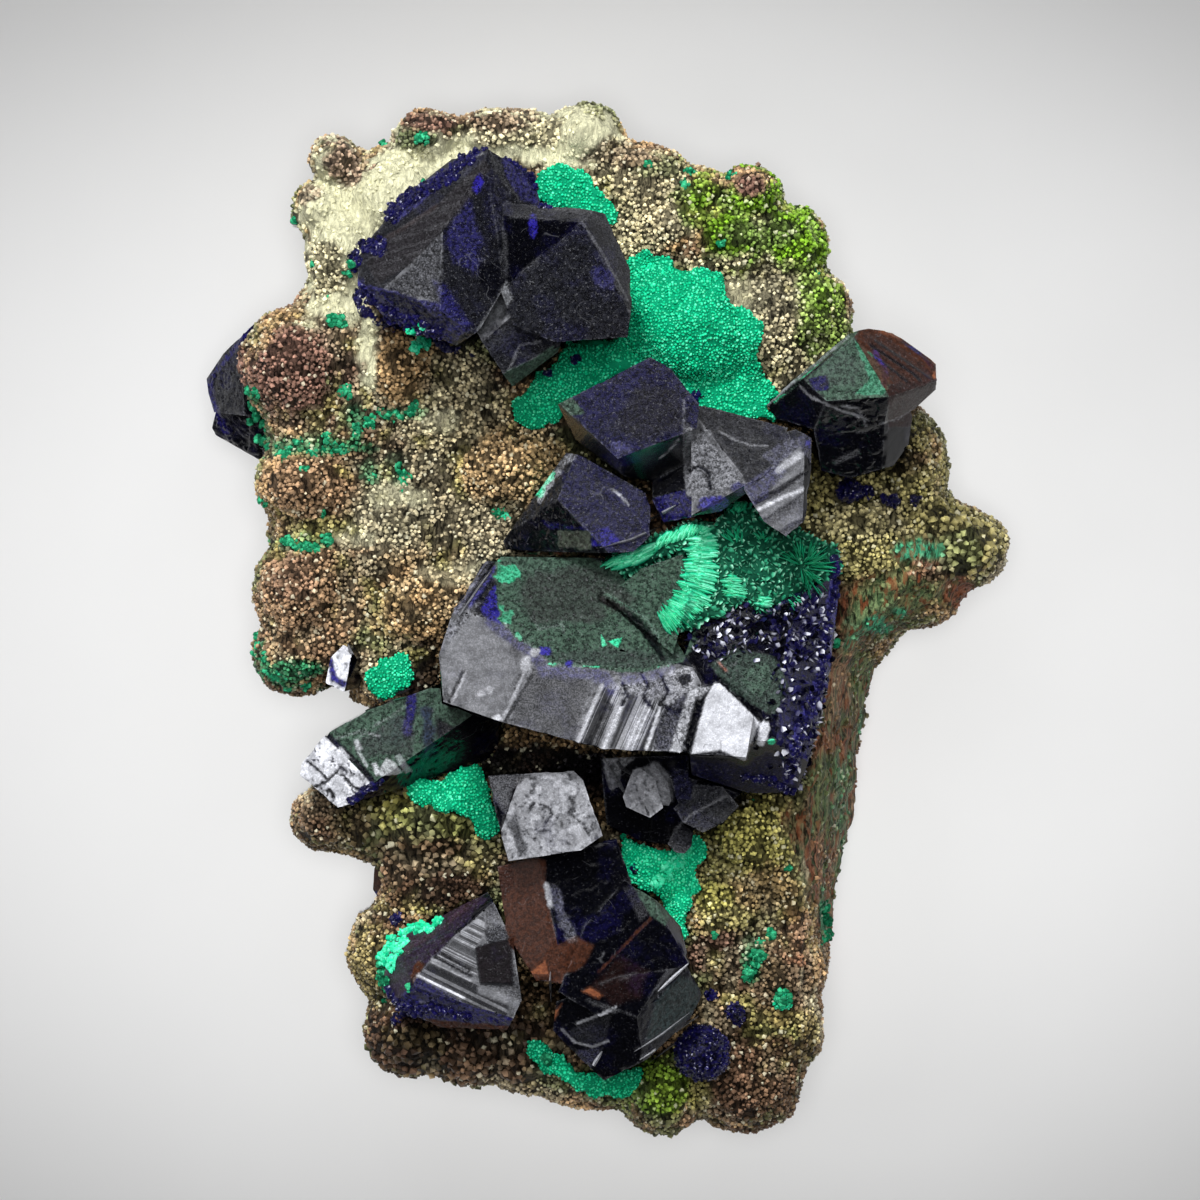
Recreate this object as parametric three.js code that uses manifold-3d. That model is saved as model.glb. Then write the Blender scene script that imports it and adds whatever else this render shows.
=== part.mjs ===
// An azurite and malachite specimen lying on its back: a lumpy rock matrix, the
// azurite crystals and beads rooted in it, and the malachite that covers parts of it.
// Millimetres, +Z up out of the specimen's show face, +Y towards its upper edge.
import * as THREE from "three";
import { ConvexGeometry } from "three/addons/geometries/ConvexGeometry.js";
import { mergeVertices } from "three/addons/utils/BufferGeometryUtils.js";
import Module from "manifold-3d";

const wasm = await Module();
wasm.setup();

// ---------------------------------------------------------------- driving dimensions
const GAP = 0.3; // clearance between two pieces that touch
const CRUST_GROWTH = 1.1; // how far a malachite crust stands over the bare rock
const CRUST_FOOT = 15; // height that every crust stays above
const CRUST_REACH = 20; // and how far above it the crusts may rise
const ROCK_FACE = 21; // height of the rock between its bosses
const RING_POINTS = 44; // points round the rock's outline
const LUMP_DETAIL = 1; // how finely each boss and bead is faceted
const ROOT = 14; // how deep the crystals are rooted, as a height over the base
const HEART = 1; // height over the root at which a point is sure to be inside a crystal
const SIDE_DRAFT = 3; // degrees by which a crystal's sides spread towards its root
const SAME_POINT = 1e-4; // corners closer than this are one corner
const TOLERANCE = 1e-6; // rounding error allowed when faces are cut against each other

const degrees = THREE.MathUtils.degToRad;
const point = ([x, y, z]) => new THREE.Vector3(x, y, z);

// ---------------------------------------------------------------- solids
// A three.js geometry as a closed solid that can be joined and cut.
function solidOf(geometry) {
  const bare = new THREE.BufferGeometry();
  bare.setAttribute("position", geometry.getAttribute("position"));
  bare.setIndex(geometry.getIndex());
  const merged = mergeVertices(bare, SAME_POINT);
  return new wasm.Manifold(
    new wasm.Mesh({
      numProp: 3,
      vertProperties: new Float32Array(merged.attributes.position.array),
      triVerts: new Uint32Array(merged.index.array),
    }),
  );
}

function geometryOf(solid) {
  const mesh = solid.getMesh();
  const geometry = new THREE.BufferGeometry();
  geometry.setAttribute("position", new THREE.BufferAttribute(mesh.vertProperties, 3));
  geometry.setIndex(new THREE.BufferAttribute(mesh.triVerts, 1));
  return geometry;
}

const joined = (solids) => solids.reduce((all, next) => all.add(next));

// ---------------------------------------------------------------- crystals
// A crystal is the space inside its faces: steep sides along an outline that is seen
// from above, a floor at its root, and the roof faces, each through three points.
function crystal({ outline, roofs, root = ROOT, draft = SIDE_DRAFT }) {
  const middle = outline
    .reduce((sum, [x, y]) => sum.add(new THREE.Vector2(x, y)), new THREE.Vector2())
    .divideScalar(outline.length);
  const heart = new THREE.Vector3(middle.x, middle.y, root + HEART);
  const shoulder = roofs[0][0][2]; // height at which the sides lie on the outline
  const planes = [new THREE.Plane(new THREE.Vector3(0, 0, -1), root)];
  outline.forEach(([x, y], i) => {
    const [nextX, nextY] = outline[(i + 1) % outline.length];
    const out = new THREE.Vector3(nextY - y, x - nextX, 0).normalize();
    out.z = Math.tan(degrees(draft));
    planes.push(outward(out.normalize(), new THREE.Vector3(x, y, shoulder), heart));
  });
  for (const [a, b, c] of roofs) {
    const plane = new THREE.Plane().setFromCoplanarPoints(point(a), point(b), point(c));
    planes.push(outward(plane.normal, point(a), heart));
  }
  return planes;
}

// The plane of a face, turned so that the crystal's heart is behind it.
function outward(normal, onFace, heart) {
  const plane = new THREE.Plane().setFromNormalAndCoplanarPoint(normal, onFace);
  if (plane.distanceToPoint(heart) > 0) plane.negate();
  return plane;
}

// The solid between the planes, with every face moved out by `growth`.
function between(planes, growth = 0) {
  const faces = planes.map((p) => new THREE.Plane(p.normal, p.constant - growth));
  const corners = [];
  for (let i = 0; i < faces.length; i++) {
    for (let j = i + 1; j < faces.length; j++) {
      for (let k = j + 1; k < faces.length; k++) {
        const corner = meeting(faces[i], faces[j], faces[k]);
        const inside = corner && faces.every((f) => f.distanceToPoint(corner) < TOLERANCE);
        if (inside) corners.push(corner);
      }
    }
  }
  return solidOf(new ConvexGeometry(corners));
}

// The corner where three faces meet, if they do.
function meeting(a, b, c) {
  const bc = new THREE.Vector3().crossVectors(b.normal, c.normal);
  const volume = a.normal.dot(bc);
  if (Math.abs(volume) < TOLERANCE) return null;
  const ca = new THREE.Vector3().crossVectors(c.normal, a.normal);
  const ab = new THREE.Vector3().crossVectors(a.normal, b.normal);
  return bc
    .multiplyScalar(-a.constant)
    .addScaledVector(ca, -b.constant)
    .addScaledVector(ab, -c.constant)
    .divideScalar(volume);
}

// Crystals that grew into each other, as one solid.
const cluster = (members, growth = 0) => joined(members.map((planes) => between(planes, growth)));

// A round bead, or a lump of the rock: a ball stretched along each axis.
function lump([x, y, z], [rx, ry, rz], growth = 0) {
  const ball = new THREE.IcosahedronGeometry(1, LUMP_DETAIL);
  ball.rotateZ(x + y); // so that neighbouring lumps don't line up
  ball.scale(rx + growth, ry + growth, rz + growth);
  ball.translate(x, y, z);
  return solidOf(ball);
}

// ---------------------------------------------------------------- the rock
// The rock's outline seen from above, clockwise from its upper left corner.
const ROCK_OUTLINE = [
  [-23.9, 40.2],
  [-18.3, 42.3],
  [-11.2, 43.5],
  [-3.3, 44.2],
  [2.9, 40.9],
  [8.2, 38.5],
  [14, 37],
  [17.3, 33.6],
  [19.6, 28.3],
  [22.6, 23.7],
  [27, 18.6],
  [28.6, 12.4],
  [32.9, 7],
  [30, 1.9],
  [25.4, -1.9],
  [23.1, -7.2],
  [22.3, -15.2],
  [21, -21.8],
  [19.7, -29.3],
  [18.3, -36.8],
  [13.6, -43],
  [4.7, -43.2],
  [-4.1, -41.3],
  [-13.4, -39.2],
  [-19.4, -35],
  [-21.1, -28.4],
  [-19.6, -23.1],
  [-20.3, -18.6],
  [-19.7, -13.3],
  [-19.7, -8.4],
  [-24.5, -4.9],
  [-29.3, -1.4],
  [-29.8, 5.3],
  [-29.6, 12.4],
  [-30.5, 17.7],
  [-30.5, 23],
  [-26.9, 28.3],
  [-25.4, 33.6],
  [-26.5, 37.6],
];

// How far the rock draws in at each height, and how much further on its right flank,
// where it broke off along a sloping face.
const ROCK_LEVELS = [
  { height: 0, inset: 5.5, flank: 1.2 },
  { height: 2.5, inset: 2.6, flank: 0 },
  { height: 8, inset: 0.4, flank: 0.9 },
  { height: 14, inset: 0, flank: 2.3 },
  { height: 19, inset: 1.2, flank: 3.7 },
  { height: ROCK_FACE, inset: 4, flank: 5 },
];
const FLANK = { middle: -34, half: 30, fade: 14 }; // headings of the right flank, in degrees

// The rock without its bosses: a drum whose rings are drawn out to the outline.
function rockCore(growth) {
  const outline = new THREE.CatmullRomCurve3(
    ROCK_OUTLINE.map(([x, y]) => new THREE.Vector3(x, y, 0)),
    true,
    "centripetal",
  );
  const ring = outline.getSpacedPoints(RING_POINTS);
  const rings = ROCK_LEVELS.length - 1;
  const core = new THREE.CylinderGeometry(1, 1, 1, RING_POINTS, rings);
  core.rotateX(Math.PI / 2);
  const place = core.getAttribute("position");
  for (let i = 0; i < place.count; i++) {
    const level = ROCK_LEVELS[Math.round((place.getZ(i) + 0.5) * rings)];
    const height = level.height + (level.height > 0 ? growth : 0);
    const isCentreOfAnEnd = Math.hypot(place.getX(i), place.getY(i)) < SAME_POINT;
    if (isCentreOfAnEnd) {
      place.setXYZ(i, 0, 0, height);
      continue;
    }
    const turn = Math.atan2(place.getY(i), place.getX(i)) / (2 * Math.PI);
    const onRing = ring[Math.round((1 - turn) * RING_POINTS) % RING_POINTS];
    const reach = Math.hypot(onRing.x, onRing.y);
    const heading = THREE.MathUtils.radToDeg(Math.atan2(onRing.y, onRing.x));
    const off = Math.abs(heading - FLANK.middle) - FLANK.half;
    const flankness = 1 - THREE.MathUtils.smoothstep(off, 0, FLANK.fade);
    const inset = THREE.MathUtils.lerp(level.inset, level.flank, flankness) - growth;
    place.setXYZ(i, onRing.x * (1 - inset / reach), onRing.y * (1 - inset / reach), height);
  }
  return solidOf(core);
}

// The rounded bosses of the rock: centre, then half sizes along X, Y and Z.
const BOSSES = [
  // upper left
  [[-23.8, 40.5, 16], [2.3, 2.2, 6]],
  [[-25.3, 36.2, 16], [2.4, 2.2, 6]],
  [[-23, 32.5, 17], [3.6, 3.9, 6.5]],
  [[-18.2, 36.9, 17], [4.5, 4.3, 6.5]],
  [[-20, 26.6, 17], [3.8, 3.1, 6]],
  // along the top
  [[-15.6, 42.3, 16], [3.5, 2.4, 6.5]],
  [[-9, 42.7, 16], [5, 2.6, 6.5]],
  [[-2.1, 42.4, 16], [3.7, 3.1, 7]],
  [[3.4, 38.2, 17], [4.6, 3.8, 6]],
  [[7.9, 37.1, 16], [3.3, 2.9, 6.5]],
  [[12.6, 37.3, 16], [3, 2.8, 7]],
  [[5.4, 34.1, 17], [4.2, 3.8, 6]],
  [[10.1, 32.8, 18], [4.9, 4, 6]],
  [[15.4, 32.8, 16], [4.1, 3.9, 7]],
  [[17.6, 27.1, 16], [3.9, 4.3, 7]],
  [[14, 25.9, 17.5], [4.7, 5.4, 6.5]],
  [[-1.9, 21.5, 18], [6.1, 3.6, 5]],
  // left
  [[-23.1, 16.5, 16], [4.5, 3.6, 6.5]],
  [[-18.4, 21.9, 18], [4, 3.7, 6.5]],
  [[-14.7, 17.7, 18], [4.9, 3.4, 5.5]],
  [[-26.4, 12, 15], [4.7, 4.2, 9]],
  [[-8.5, 13.4, 18], [5, 3.9, 6.5]],
  [[-18.9, 6.6, 18], [5.4, 4.9, 5]],
  [[-16, 1, 18], [5.4, 4.5, 6]],
  [[-27.2, -2.9, 12], [4.1, 3.6, 8.5]],
  // right
  [[25.9, 13.9, 14], [4.2, 5.2, 8.5]],
  [[30.8, 6.3, 12], [4.8, 3.9, 8.5]],
  [[22.4, 6.6, 17], [5.4, 4.9, 6.5]],
  [[26.4, 2.4, 11], [5.4, 3.1, 9]],
  // lower left
  [[-24.7, -17.4, 13], [3.3, 3, 7.5]],
  [[-21.1, -18.2, 14], [3.1, 3, 6.5]],
  [[-15.4, -17.8, 17], [5.2, 4.3, 6.5]],
  [[-13.4, -24, 17], [5.2, 4, 6]],
  [[-19, -29.3, 14], [3.9, 4.5, 8]],
  [[-17.2, -36.1, 14], [4.3, 4.3, 8]],
  [[-12.1, -37.6, 14], [4.8, 3.5, 8]],
  [[-6.8, -38.5, 14], [4.3, 3.3, 8]],
  // bottom and lower right
  [[-1.7, -40.1, 15], [4.9, 3, 7]],
  [[4.9, -41.5, 15], [3.9, 3.9, 8.5]],
  [[15.3, -35.5, 15], [3.8, 4.3, 8]],
  [[14.2, -31.1, 15], [5, 4.7, 8.5]],
  [[9.8, -25.1, 17], [4.9, 5.2, 7]],
  [[12.8, -19.8, 17], [4.7, 4.7, 7]],
  [[2.9, -21.1, 17], [5.4, 4.5, 6.5]],
  // the four biggest
  [[7.3, 26.3, 19], [5.9, 5.5, 6]],
  [[-27.3, 22.1, 15], [5.2, 5.5, 10]],
  [[-26.1, 2.6, 14], [5.2, 5.5, 9.5]],
  [[11.9, -39.9, 14], [5.6, 5.4, 9]],
];

function rock(growth = 0) {
  return joined([
    rockCore(growth),
    ...BOSSES.map(([centre, half]) => lump(centre, half, growth)),
  ]);
}

// ---------------------------------------------------------------- azurite crystals
const topCluster = [
  // the long striated bevel, the mottled triangle and the blue face beside them
  crystal({
    outline: [
      [-10.6, 40.7],
      [-6.2, 38.3],
      [-5.3, 35.2],
      [-8.9, 28.5],
      [-11, 24.8],
      [-13, 23.5],
      [-19.2, 25.7],
      [-21.7, 28.8],
      [-21.8, 31.4],
      [-18.4, 36.2],
      [-13.5, 39.9],
    ],
    roofs: [
      [[-10.9, 38.8, 36.2], [-14.1, 33.4, 36.1], [-19.2, 28.6, 34.5]],
      [[-14.1, 33.4, 36.1], [-19.2, 28.6, 34.5], [-14.4, 27.5, 35.9]],
      [[-10.9, 38.8, 36.2], [-14.1, 33.4, 36.1], [-14.4, 27.5, 35.9]],
      [[-10.6, 39.1, 36.4], [-9.2, 28.4, 36.2], [-6.6, 36.2, 33.4]],
      [[-19.5, 28.5, 34.4], [-11.6, 24.6, 35.6], [-17.9, 25.6, 32]],
      [[-10.7, 39.9, 36], [-11.4, 39.2, 36], [-14.4, 39.4, 32.4]],
    ],
  }),
  // the big black face and its narrow grey bevel
  crystal({
    outline: [
      [-9, 36],
      [-2.3, 35.5],
      [-0.1, 35.1],
      [2.1, 30.3],
      [2.2, 27.4],
      [1.8, 24.3],
      [-4.4, 23.8],
      [-8.2, 25.3],
      [-9.2, 28.4],
    ],
    roofs: [
      [[-8.5, 34.7, 36.6], [-2.1, 34.2, 36.8], [-4, 24.3, 35.4]],
      [[-8.5, 34.7, 36.6], [-2.1, 34.2, 36.8], [-5.3, 35.9, 34.8]],
      [[-2.1, 34.2, 36.8], [1.7, 27.3, 35.8], [1.6, 30.8, 34.4]],
    ],
  }),
  // the small wedge between them
  crystal({
    outline: [
      [-9.1, 28.6],
      [-8, 28.6],
      [-3.9, 24],
      [-4.2, 23.1],
      [-8.2, 20],
      [-11.5, 25.2],
    ],
    roofs: [
      [[-11.4, 25.2, 33.4], [-9, 28.5, 32.6], [-10.7, 24, 34]],
      [[-10.7, 24, 34], [-7.9, 27.2, 33.6], [-4.2, 23.7, 33]],
      [[-8.8, 21.3, 33.7], [-4.3, 23.5, 33], [-8.1, 20.1, 31.2]],
    ],
  }),
];

const leftEdge = [
  crystal({
    outline: [
      [-30.4, 26.7],
      [-28.6, 24.8],
      [-28.6, 17.7],
      [-34.9, 18.2],
      [-35.5, 20],
      [-35.7, 21.4],
      [-34, 23.6],
      [-32.4, 25],
    ],
    roofs: [
      [[-32.1, 24.2, 15.2], [-31.9, 19.4, 15.4], [-35.2, 20.9, 11.6]],
      [[-32.1, 24.2, 15.2], [-31.8, 19.4, 15.2], [-28.8, 22, 14.8]],
    ],
    root: 3.5,
  }),
  crystal({
    outline: [
      [-29, 19.1],
      [-29, 13.5],
      [-30.8, 14.1],
      [-34.9, 16.3],
      [-35.1, 17],
      [-34.5, 18.8],
    ],
    roofs: [
      [[-34, 18.5, 12.6], [-34.6, 16.6, 11], [-30.5, 16.8, 13.6]],
    ],
    root: 4.5,
  }),
];

const upperPair = [
  // left block, with its mottled top and black lower side
  crystal({
    outline: [
      [-4.3, 18.6],
      [3.7, 22.7],
      [5.3, 21.9],
      [7.9, 18.6],
      [7.3, 13],
      [4.1, 11.9],
      [1.5, 12.3],
      [-2.9, 15.5],
    ],
    roofs: [
      [[-3.9, 18.6, 33.5], [3.9, 22.4, 33.4], [1.1, 14, 34.6]],
      [[-4.1, 18.6, 33.5], [0.9, 13.9, 34.6], [-2.5, 15.5, 30]],
      [[0.9, 13.9, 34.6], [7, 16.2, 34.6], [4.2, 12, 29.5]],
    ],
  }),
  // right block: grey top, and two silvery faces under it
  crystal({
    outline: [
      [7.1, 18.6],
      [8.4, 18.7],
      [15.8, 16.7],
      [14.1, 13],
      [11.9, 10.8],
      [9.9, 9.3],
      [7.2, 8.8],
    ],
    roofs: [
      [[12.1, 11.9, 35.4], [17.7, 16.1, 33.1], [7.2, 18.3, 32.2]],
      [[12.1, 11.9, 35.4], [7.2, 18.3, 32.2], [7.3, 9.1, 34.9]],
      [[12.1, 11.7, 35.4], [7.3, 9, 34.9], [9.8, 8.3, 32]],
    ],
  }),
  crystal({
    outline: [
      [11.9, 15.5],
      [16.3, 16.6],
      [17.8, 15.8],
      [17.7, 12.9],
      [17.1, 8.6],
      [15.4, 7.2],
      [13.5, 8.5],
      [11.8, 11.2],
    ],
    roofs: [
      [[12.1, 11.9, 35.4], [17.7, 16.1, 33.1], [7.2, 18.3, 32.2]],
      [[12.1, 11.9, 35.4], [17.7, 16.1, 33.1], [15.3, 7.3, 35.9]],
      [[16.4, 12.9, 34.8], [16.8, 8.6, 35.3], [17.8, 13, 33]],
    ],
  }),
  // the blue sliver between the two blocks
  crystal({
    outline: [
      [3.9, 13.7],
      [7.4, 14.7],
      [7.6, 9],
      [4.9, 8.4],
      [3.9, 10.4],
    ],
    roofs: [
      [[4.2, 10.4, 30.4], [7.2, 11.2, 31.6], [7.2, 9.1, 31.4]],
      [[4.2, 10.7, 30.4], [7.2, 11.5, 31.6], [5.9, 13.9, 30]],
    ],
  }),
];

const middleLozenge = [
  crystal({
    outline: [
      [-3.6, 14.6],
      [-2.2, 14.2],
      [3.3, 11],
      [3.7, 9.9],
      [3.6, 7.2],
      [2.2, 6],
      [-1.9, 5.8],
      [-9, 5.9],
      [-9.3, 6.9],
    ],
    roofs: [
      [[-2.2, 13.8, 31.4], [3.3, 10.4, 32.2], [-0.4, 6.5, 33.2]],
      [[-5.1, 9.9, 31.4], [-0.4, 6.3, 33.2], [-7.6, 5.9, 27.6]],
      [[-3.5, 13.3, 31], [-5.1, 9.9, 31.4], [-7.1, 9.5, 28.4]],
    ],
  }),
];

const rightBlock = [
  crystal({
    outline: [
      [13.6, 18.7],
      [20.9, 24.9],
      [22.6, 25.3],
      [24.8, 25.1],
      [28.7, 22.3],
      [28.6, 19.9],
      [26.6, 18.1],
      [21, 15.6],
      [14.6, 17.3],
    ],
    roofs: [
      [[21.1, 24.2, 32.2], [17.1, 20.7, 33.2], [24.2, 19.3, 34.6]],
      [[21.3, 24.4, 32.2], [24.3, 19.3, 34.6], [28.7, 21.9, 29.8]],
      [[19, 19.1, 34.4], [24.3, 19.2, 34.6], [21, 15.9, 31]],
      [[17, 20.7, 33.2], [19, 19.1, 34.4], [14.8, 17.7, 29]],
      [[17, 20.9, 33.2], [21, 24.2, 32.2], [17.4, 21.8, 31.4]],
      [[24.3, 19.1, 34.6], [28.5, 19.8, 29.6], [25.8, 17.3, 30]],
    ],
  }),
  crystal({
    outline: [
      [17.7, 16.9],
      [21.9, 19.4],
      [25.8, 19.1],
      [26.6, 17.7],
      [26.4, 15.2],
      [25, 13.2],
      [21.1, 12.1],
      [18.4, 12.8],
    ],
    roofs: [
      [[19.2, 18.1, 32.6], [24.4, 18.1, 32.8], [21.8, 12.3, 28.6]],
      [[24, 18.1, 32.8], [24.1, 13.4, 29.2], [26.6, 16.5, 28.8]],
    ],
  }),
];

const mainPlate = [
  // the plate: a silvery band in front, a green-altered slope behind
  crystal({
    outline: [
      [-13.4, 0.5],
      [-9.2, 5.5],
      [-0.1, 5.4],
      [5.9, -1.7],
      [8.2, -5.3],
      [7.1, -11.4],
      [-0.6, -11],
      [-9.2, -8.7],
      [-14.1, -7],
      [-14.5, -3],
    ],
    roofs: [
      [[-14.1, -7, 35.6], [7.1, -11.3, 36.4], [-9.2, -0.2, 33.5]],
      [[-11.4, 0.7, 33.2], [7.1, -3.9, 34.2], [-4.1, 5.2, 29.6]],
    ],
    draft: 0,
    root: 16,
  }),
  // the white facet at its right end
  crystal({
    outline: [
      [9.9, -5.2],
      [12.6, -7.8],
      [11.9, -11.7],
      [6.6, -11.4],
      [4.6, -6.9],
    ],
    roofs: [
      [[6.7, -11.3, 36.7], [8, -6, 35.1], [12.1, -11.5, 36.4]],
    ],
    draft: 0,
    root: 18,
  }),
  // the green facet that leans on the plate
  crystal({
    outline: [
      [-0.3, 2],
      [2.9, 4.5],
      [6.6, 5.8],
      [7.2, 2.6],
      [5.6, -2.8],
    ],
    roofs: [
      [[-0.2, 2, 32.1], [6.6, 5.6, 31.2], [5.5, -2.6, 34.5]],
    ],
  }),
  // blue-black splinters beside the plate's left end
  crystal({
    outline: [
      [-12.9, 0.5],
      [-10.9, 5],
      [-9.3, 5.2],
      [-9.1, 1.7],
      [-11, -0.4],
    ],
    roofs: [
      [[-12.7, 0.7, 30], [-10.8, 4.9, 28.2], [-9.3, 1.3, 31]],
    ],
    root: 18,
  }),
  // the sparkling druse on its right
  crystal({
    outline: [
      [6.7, -3],
      [8, 0.7],
      [10.3, 2.5],
      [12.2, 1.6],
      [14.5, -2.6],
      [14.6, -13],
      [12.4, -15.4],
      [7.2, -13.5],
    ],
    roofs: [
      [[8, -4.3, 32.6], [14.9, -3.4, 32.2], [13.2, -10.8, 33.6]],
      [[8, -2.6, 32.4], [14.1, -2.6, 32], [10.3, 2.2, 30.2]],
      [[8, -10.8, 33.8], [15.8, -10.8, 32.6], [12.4, -15.3, 26.5]],
    ],
  }),
  crystal({
    outline: [
      [11.9, -0.4],
      [20, 4.3],
      [20.6, 2.8],
      [19.7, -4.3],
      [18.3, -9.5],
      [16.8, -15.3],
      [12.2, -15.4],
    ],
    roofs: [
      [[8, -4.3, 32.6], [14.9, -3.4, 32.2], [13.2, -10.8, 33.6]],
      [[11.9, -1.7, 32.2], [15.8, -1.3, 31.8], [16.7, 1.7, 29.6]],
      [[15.8, 0, 31.4], [15.8, -10.4, 32], [19.6, -3.5, 27]],
      [[8, -10.8, 33.8], [15.8, -10.8, 32.6], [12.4, -15.3, 26.5]],
    ],
  }),
];

const lowerLeft = [
  crystal({
    outline: [
      [-24.6, -10],
      [-21, -7.9],
      [-15.4, -5.9],
      [-9.3, -6.1],
      [-9.3, -12.2],
      [-23.5, -16.4],
      [-26.9, -13.6],
      [-26.7, -12.5],
    ],
    roofs: [
      [[-24.7, -10.1, 24.6], [-23.4, -16.3, 26.3], [-20.7, -14.1, 26]],
      [[-24.6, -10, 24.6], [-20.6, -14.1, 26], [-14.5, -6.9, 29.2]],
      [[-23.4, -16.3, 26.3], [-20.5, -14.3, 26.1], [-18.8, -15.7, 23]],
    ],
  }),
];

const smallOval = [
  crystal({
    outline: [
      [-23.1, -2.2],
      [-22, -2.6],
      [-21.3, -4.2],
      [-21.6, -6],
      [-23, -6.2],
      [-24.6, -5.5],
      [-24.2, -3.3],
    ],
    roofs: [
      [[-23.8, -2.6, 20.8], [-24.2, -5.3, 21.6], [-22.5, -4.4, 21.8]],
      [[-22.2, -2.6, 21.2], [-22.8, -6, 22], [-21.5, -4.4, 19]],
    ],
    root: 12,
  }),
];

const silverBlock = [
  crystal({
    outline: [
      [-10.4, -13.4],
      [-7.5, -13.2],
      [-2.9, -13],
      [-2.1, -13.8],
      [-0.5, -18.5],
      [-2.3, -19.7],
      [-8.4, -20.6],
      [-9.4, -17.4],
    ],
    roofs: [
      [[-7.5, -13.5, 31.8], [-2.8, -13.4, 32], [-5.3, -20.1, 34.2]],
      [[-7.5, -13.5, 31.8], [-9, -17.7, 33.2], [-10.4, -13.8, 30.4]],
    ],
  }),
];

// The five tablets under the plate, each with its own outline and slightly tilted top.
const smallGroup = [
  crystal({
    outline: [
      [2.2, -12.9],
      [2.9, -12.8],
      [4.2, -13.8],
      [4.8, -16.2],
      [3.7, -17],
      [1.7, -16.1],
      [1.4, -15.3],
    ],
    roofs: [[[2.4, -13, 30], [4.2, -14.3, 30.3], [3.7, -16.8, 31.2]]],
    root: 18,
  }),
  crystal({
    outline: [
      [3.2, -12.8],
      [4.2, -12.5],
      [5.3, -14],
      [5.5, -15.6],
      [5.3, -16],
      [4.2, -15.9],
    ],
    roofs: [[[3.7, -12.8, 29], [5.3, -14.7, 29.6], [4.6, -15.9, 30.3]]],
    root: 18,
  }),
  crystal({
    outline: [
      [5.4, -13.5],
      [5.9, -12.8],
      [7.2, -13],
      [7.9, -13.8],
      [7.2, -15.6],
      [6.7, -16],
      [6.1, -15.7],
    ],
    roofs: [[[5.9, -13, 29.6], [7.8, -13.9, 29.4], [6.7, -15.9, 30.4]]],
    root: 18,
  }),
  crystal({
    outline: [
      [7.7, -14.2],
      [10, -14.4],
      [11.4, -16.1],
      [10, -17.5],
      [8.3, -18.3],
      [6.5, -17.4],
      [5.8, -16.3],
    ],
    roofs: [[[8.1, -14.3, 29.4], [11.3, -16.1, 29.8], [8, -18.2, 30.6]]],
    root: 18,
  }),
  crystal({
    outline: [
      [5.9, -18.1],
      [6.7, -17.8],
      [7.5, -18.4],
      [7.3, -19.6],
      [6.7, -20.2],
      [5.9, -20.1],
      [5.3, -19.4],
    ],
    roofs: [[[6.2, -18.1, 27.6], [7.4, -18.9, 27.8], [6.3, -20, 28.4]]],
    root: 18,
  }),
  // the dark base that the tablets stand on
  crystal({
    outline: [
      [-0.6, -12],
      [7.2, -11.7],
      [12, -14.8],
      [8.1, -18.1],
      [5.5, -19.6],
      [2.9, -19.3],
      [-0.1, -17.9],
    ],
    roofs: [[[0.3, -13, 27.4], [10.7, -14.8, 27], [3.7, -19.1, 26]]],
    root: 16,
  }),
];

const bottomCluster = [
  // striated silver face over dark blue skirts
  crystal({
    outline: [
      [-10.3, -23.4],
      [-8.2, -27.7],
      [-7.5, -32.8],
      [-8.7, -35.3],
      [-14.5, -35.4],
      [-18.5, -33.6],
      [-19.6, -30.8],
      [-18.8, -27.8],
    ],
    roofs: [
      [[-10.4, -25.3, 30.4], [-16.9, -31.6, 31], [-8.4, -33.8, 33.2]],
      [[-16.8, -31.8, 31], [-8.8, -34.1, 33.2], [-14.5, -35.4, 28.8]],
      [[-10.4, -24.9, 30.3], [-16.3, -30.1, 30.8], [-14.5, -25.6, 27.4]],
      [[-16.7, -30.3, 30.9], [-17.2, -32.9, 30.6], [-19.5, -30.8, 27]],
    ],
  }),
  // the brown-glossed facet and the body beside it
  crystal({
    outline: [
      [-9.5, -21.3],
      [0.9, -18.8],
      [2.2, -22.8],
      [2.9, -26.8],
      [-0.6, -31.6],
      [-6.1, -31.1],
      [-8.7, -27],
    ],
    roofs: [
      [[-8.4, -21.2, 31], [-5.1, -20.9, 31.8], [-5.8, -30.2, 32]],
      [[-4.9, -20.9, 31.8], [0.9, -19.2, 31.6], [-0.6, -26.7, 33]],
      [[-5.4, -24.2, 32], [-4.1, -30.6, 32.6], [-0.6, -31.5, 32]],
    ],
  }),
  // the darkest crystal, with a green-tinged face at the lower right
  crystal({
    outline: [
      [1.5, -22.5],
      [4.6, -24.4],
      [6.5, -26.5],
      [7.2, -29.6],
      [4.6, -32.9],
      [-0.6, -34.1],
      [-4.1, -32],
      [-1.9, -26.4],
    ],
    roofs: [
      [[2, -23.3, 31.4], [6.7, -28.5, 31], [-0.6, -32.8, 33]],
      [[4.1, -24.2, 31], [6.7, -29, 31], [5.6, -24.7, 29.2]],
    ],
  }),
  crystal({
    outline: [
      [1.1, -30.7],
      [7, -29.8],
      [8.6, -32.5],
      [7.4, -34.8],
      [3.6, -38.1],
      [-0.3, -40.2],
      [-2.3, -38.3],
      [-4.8, -35.5],
      [-4.4, -32.9],
    ],
    roofs: [
      [[-0.6, -31.5, 33], [4.1, -31.5, 32.4], [0.7, -33.6, 33]],
      [[4.3, -31.8, 32.3], [2.8, -36.3, 31.6], [8.1, -33, 28]],
      [[-4.1, -34.4, 31.8], [0.4, -33.5, 33], [-0.6, -40.1, 28.6]],
    ],
  }),
];

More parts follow.
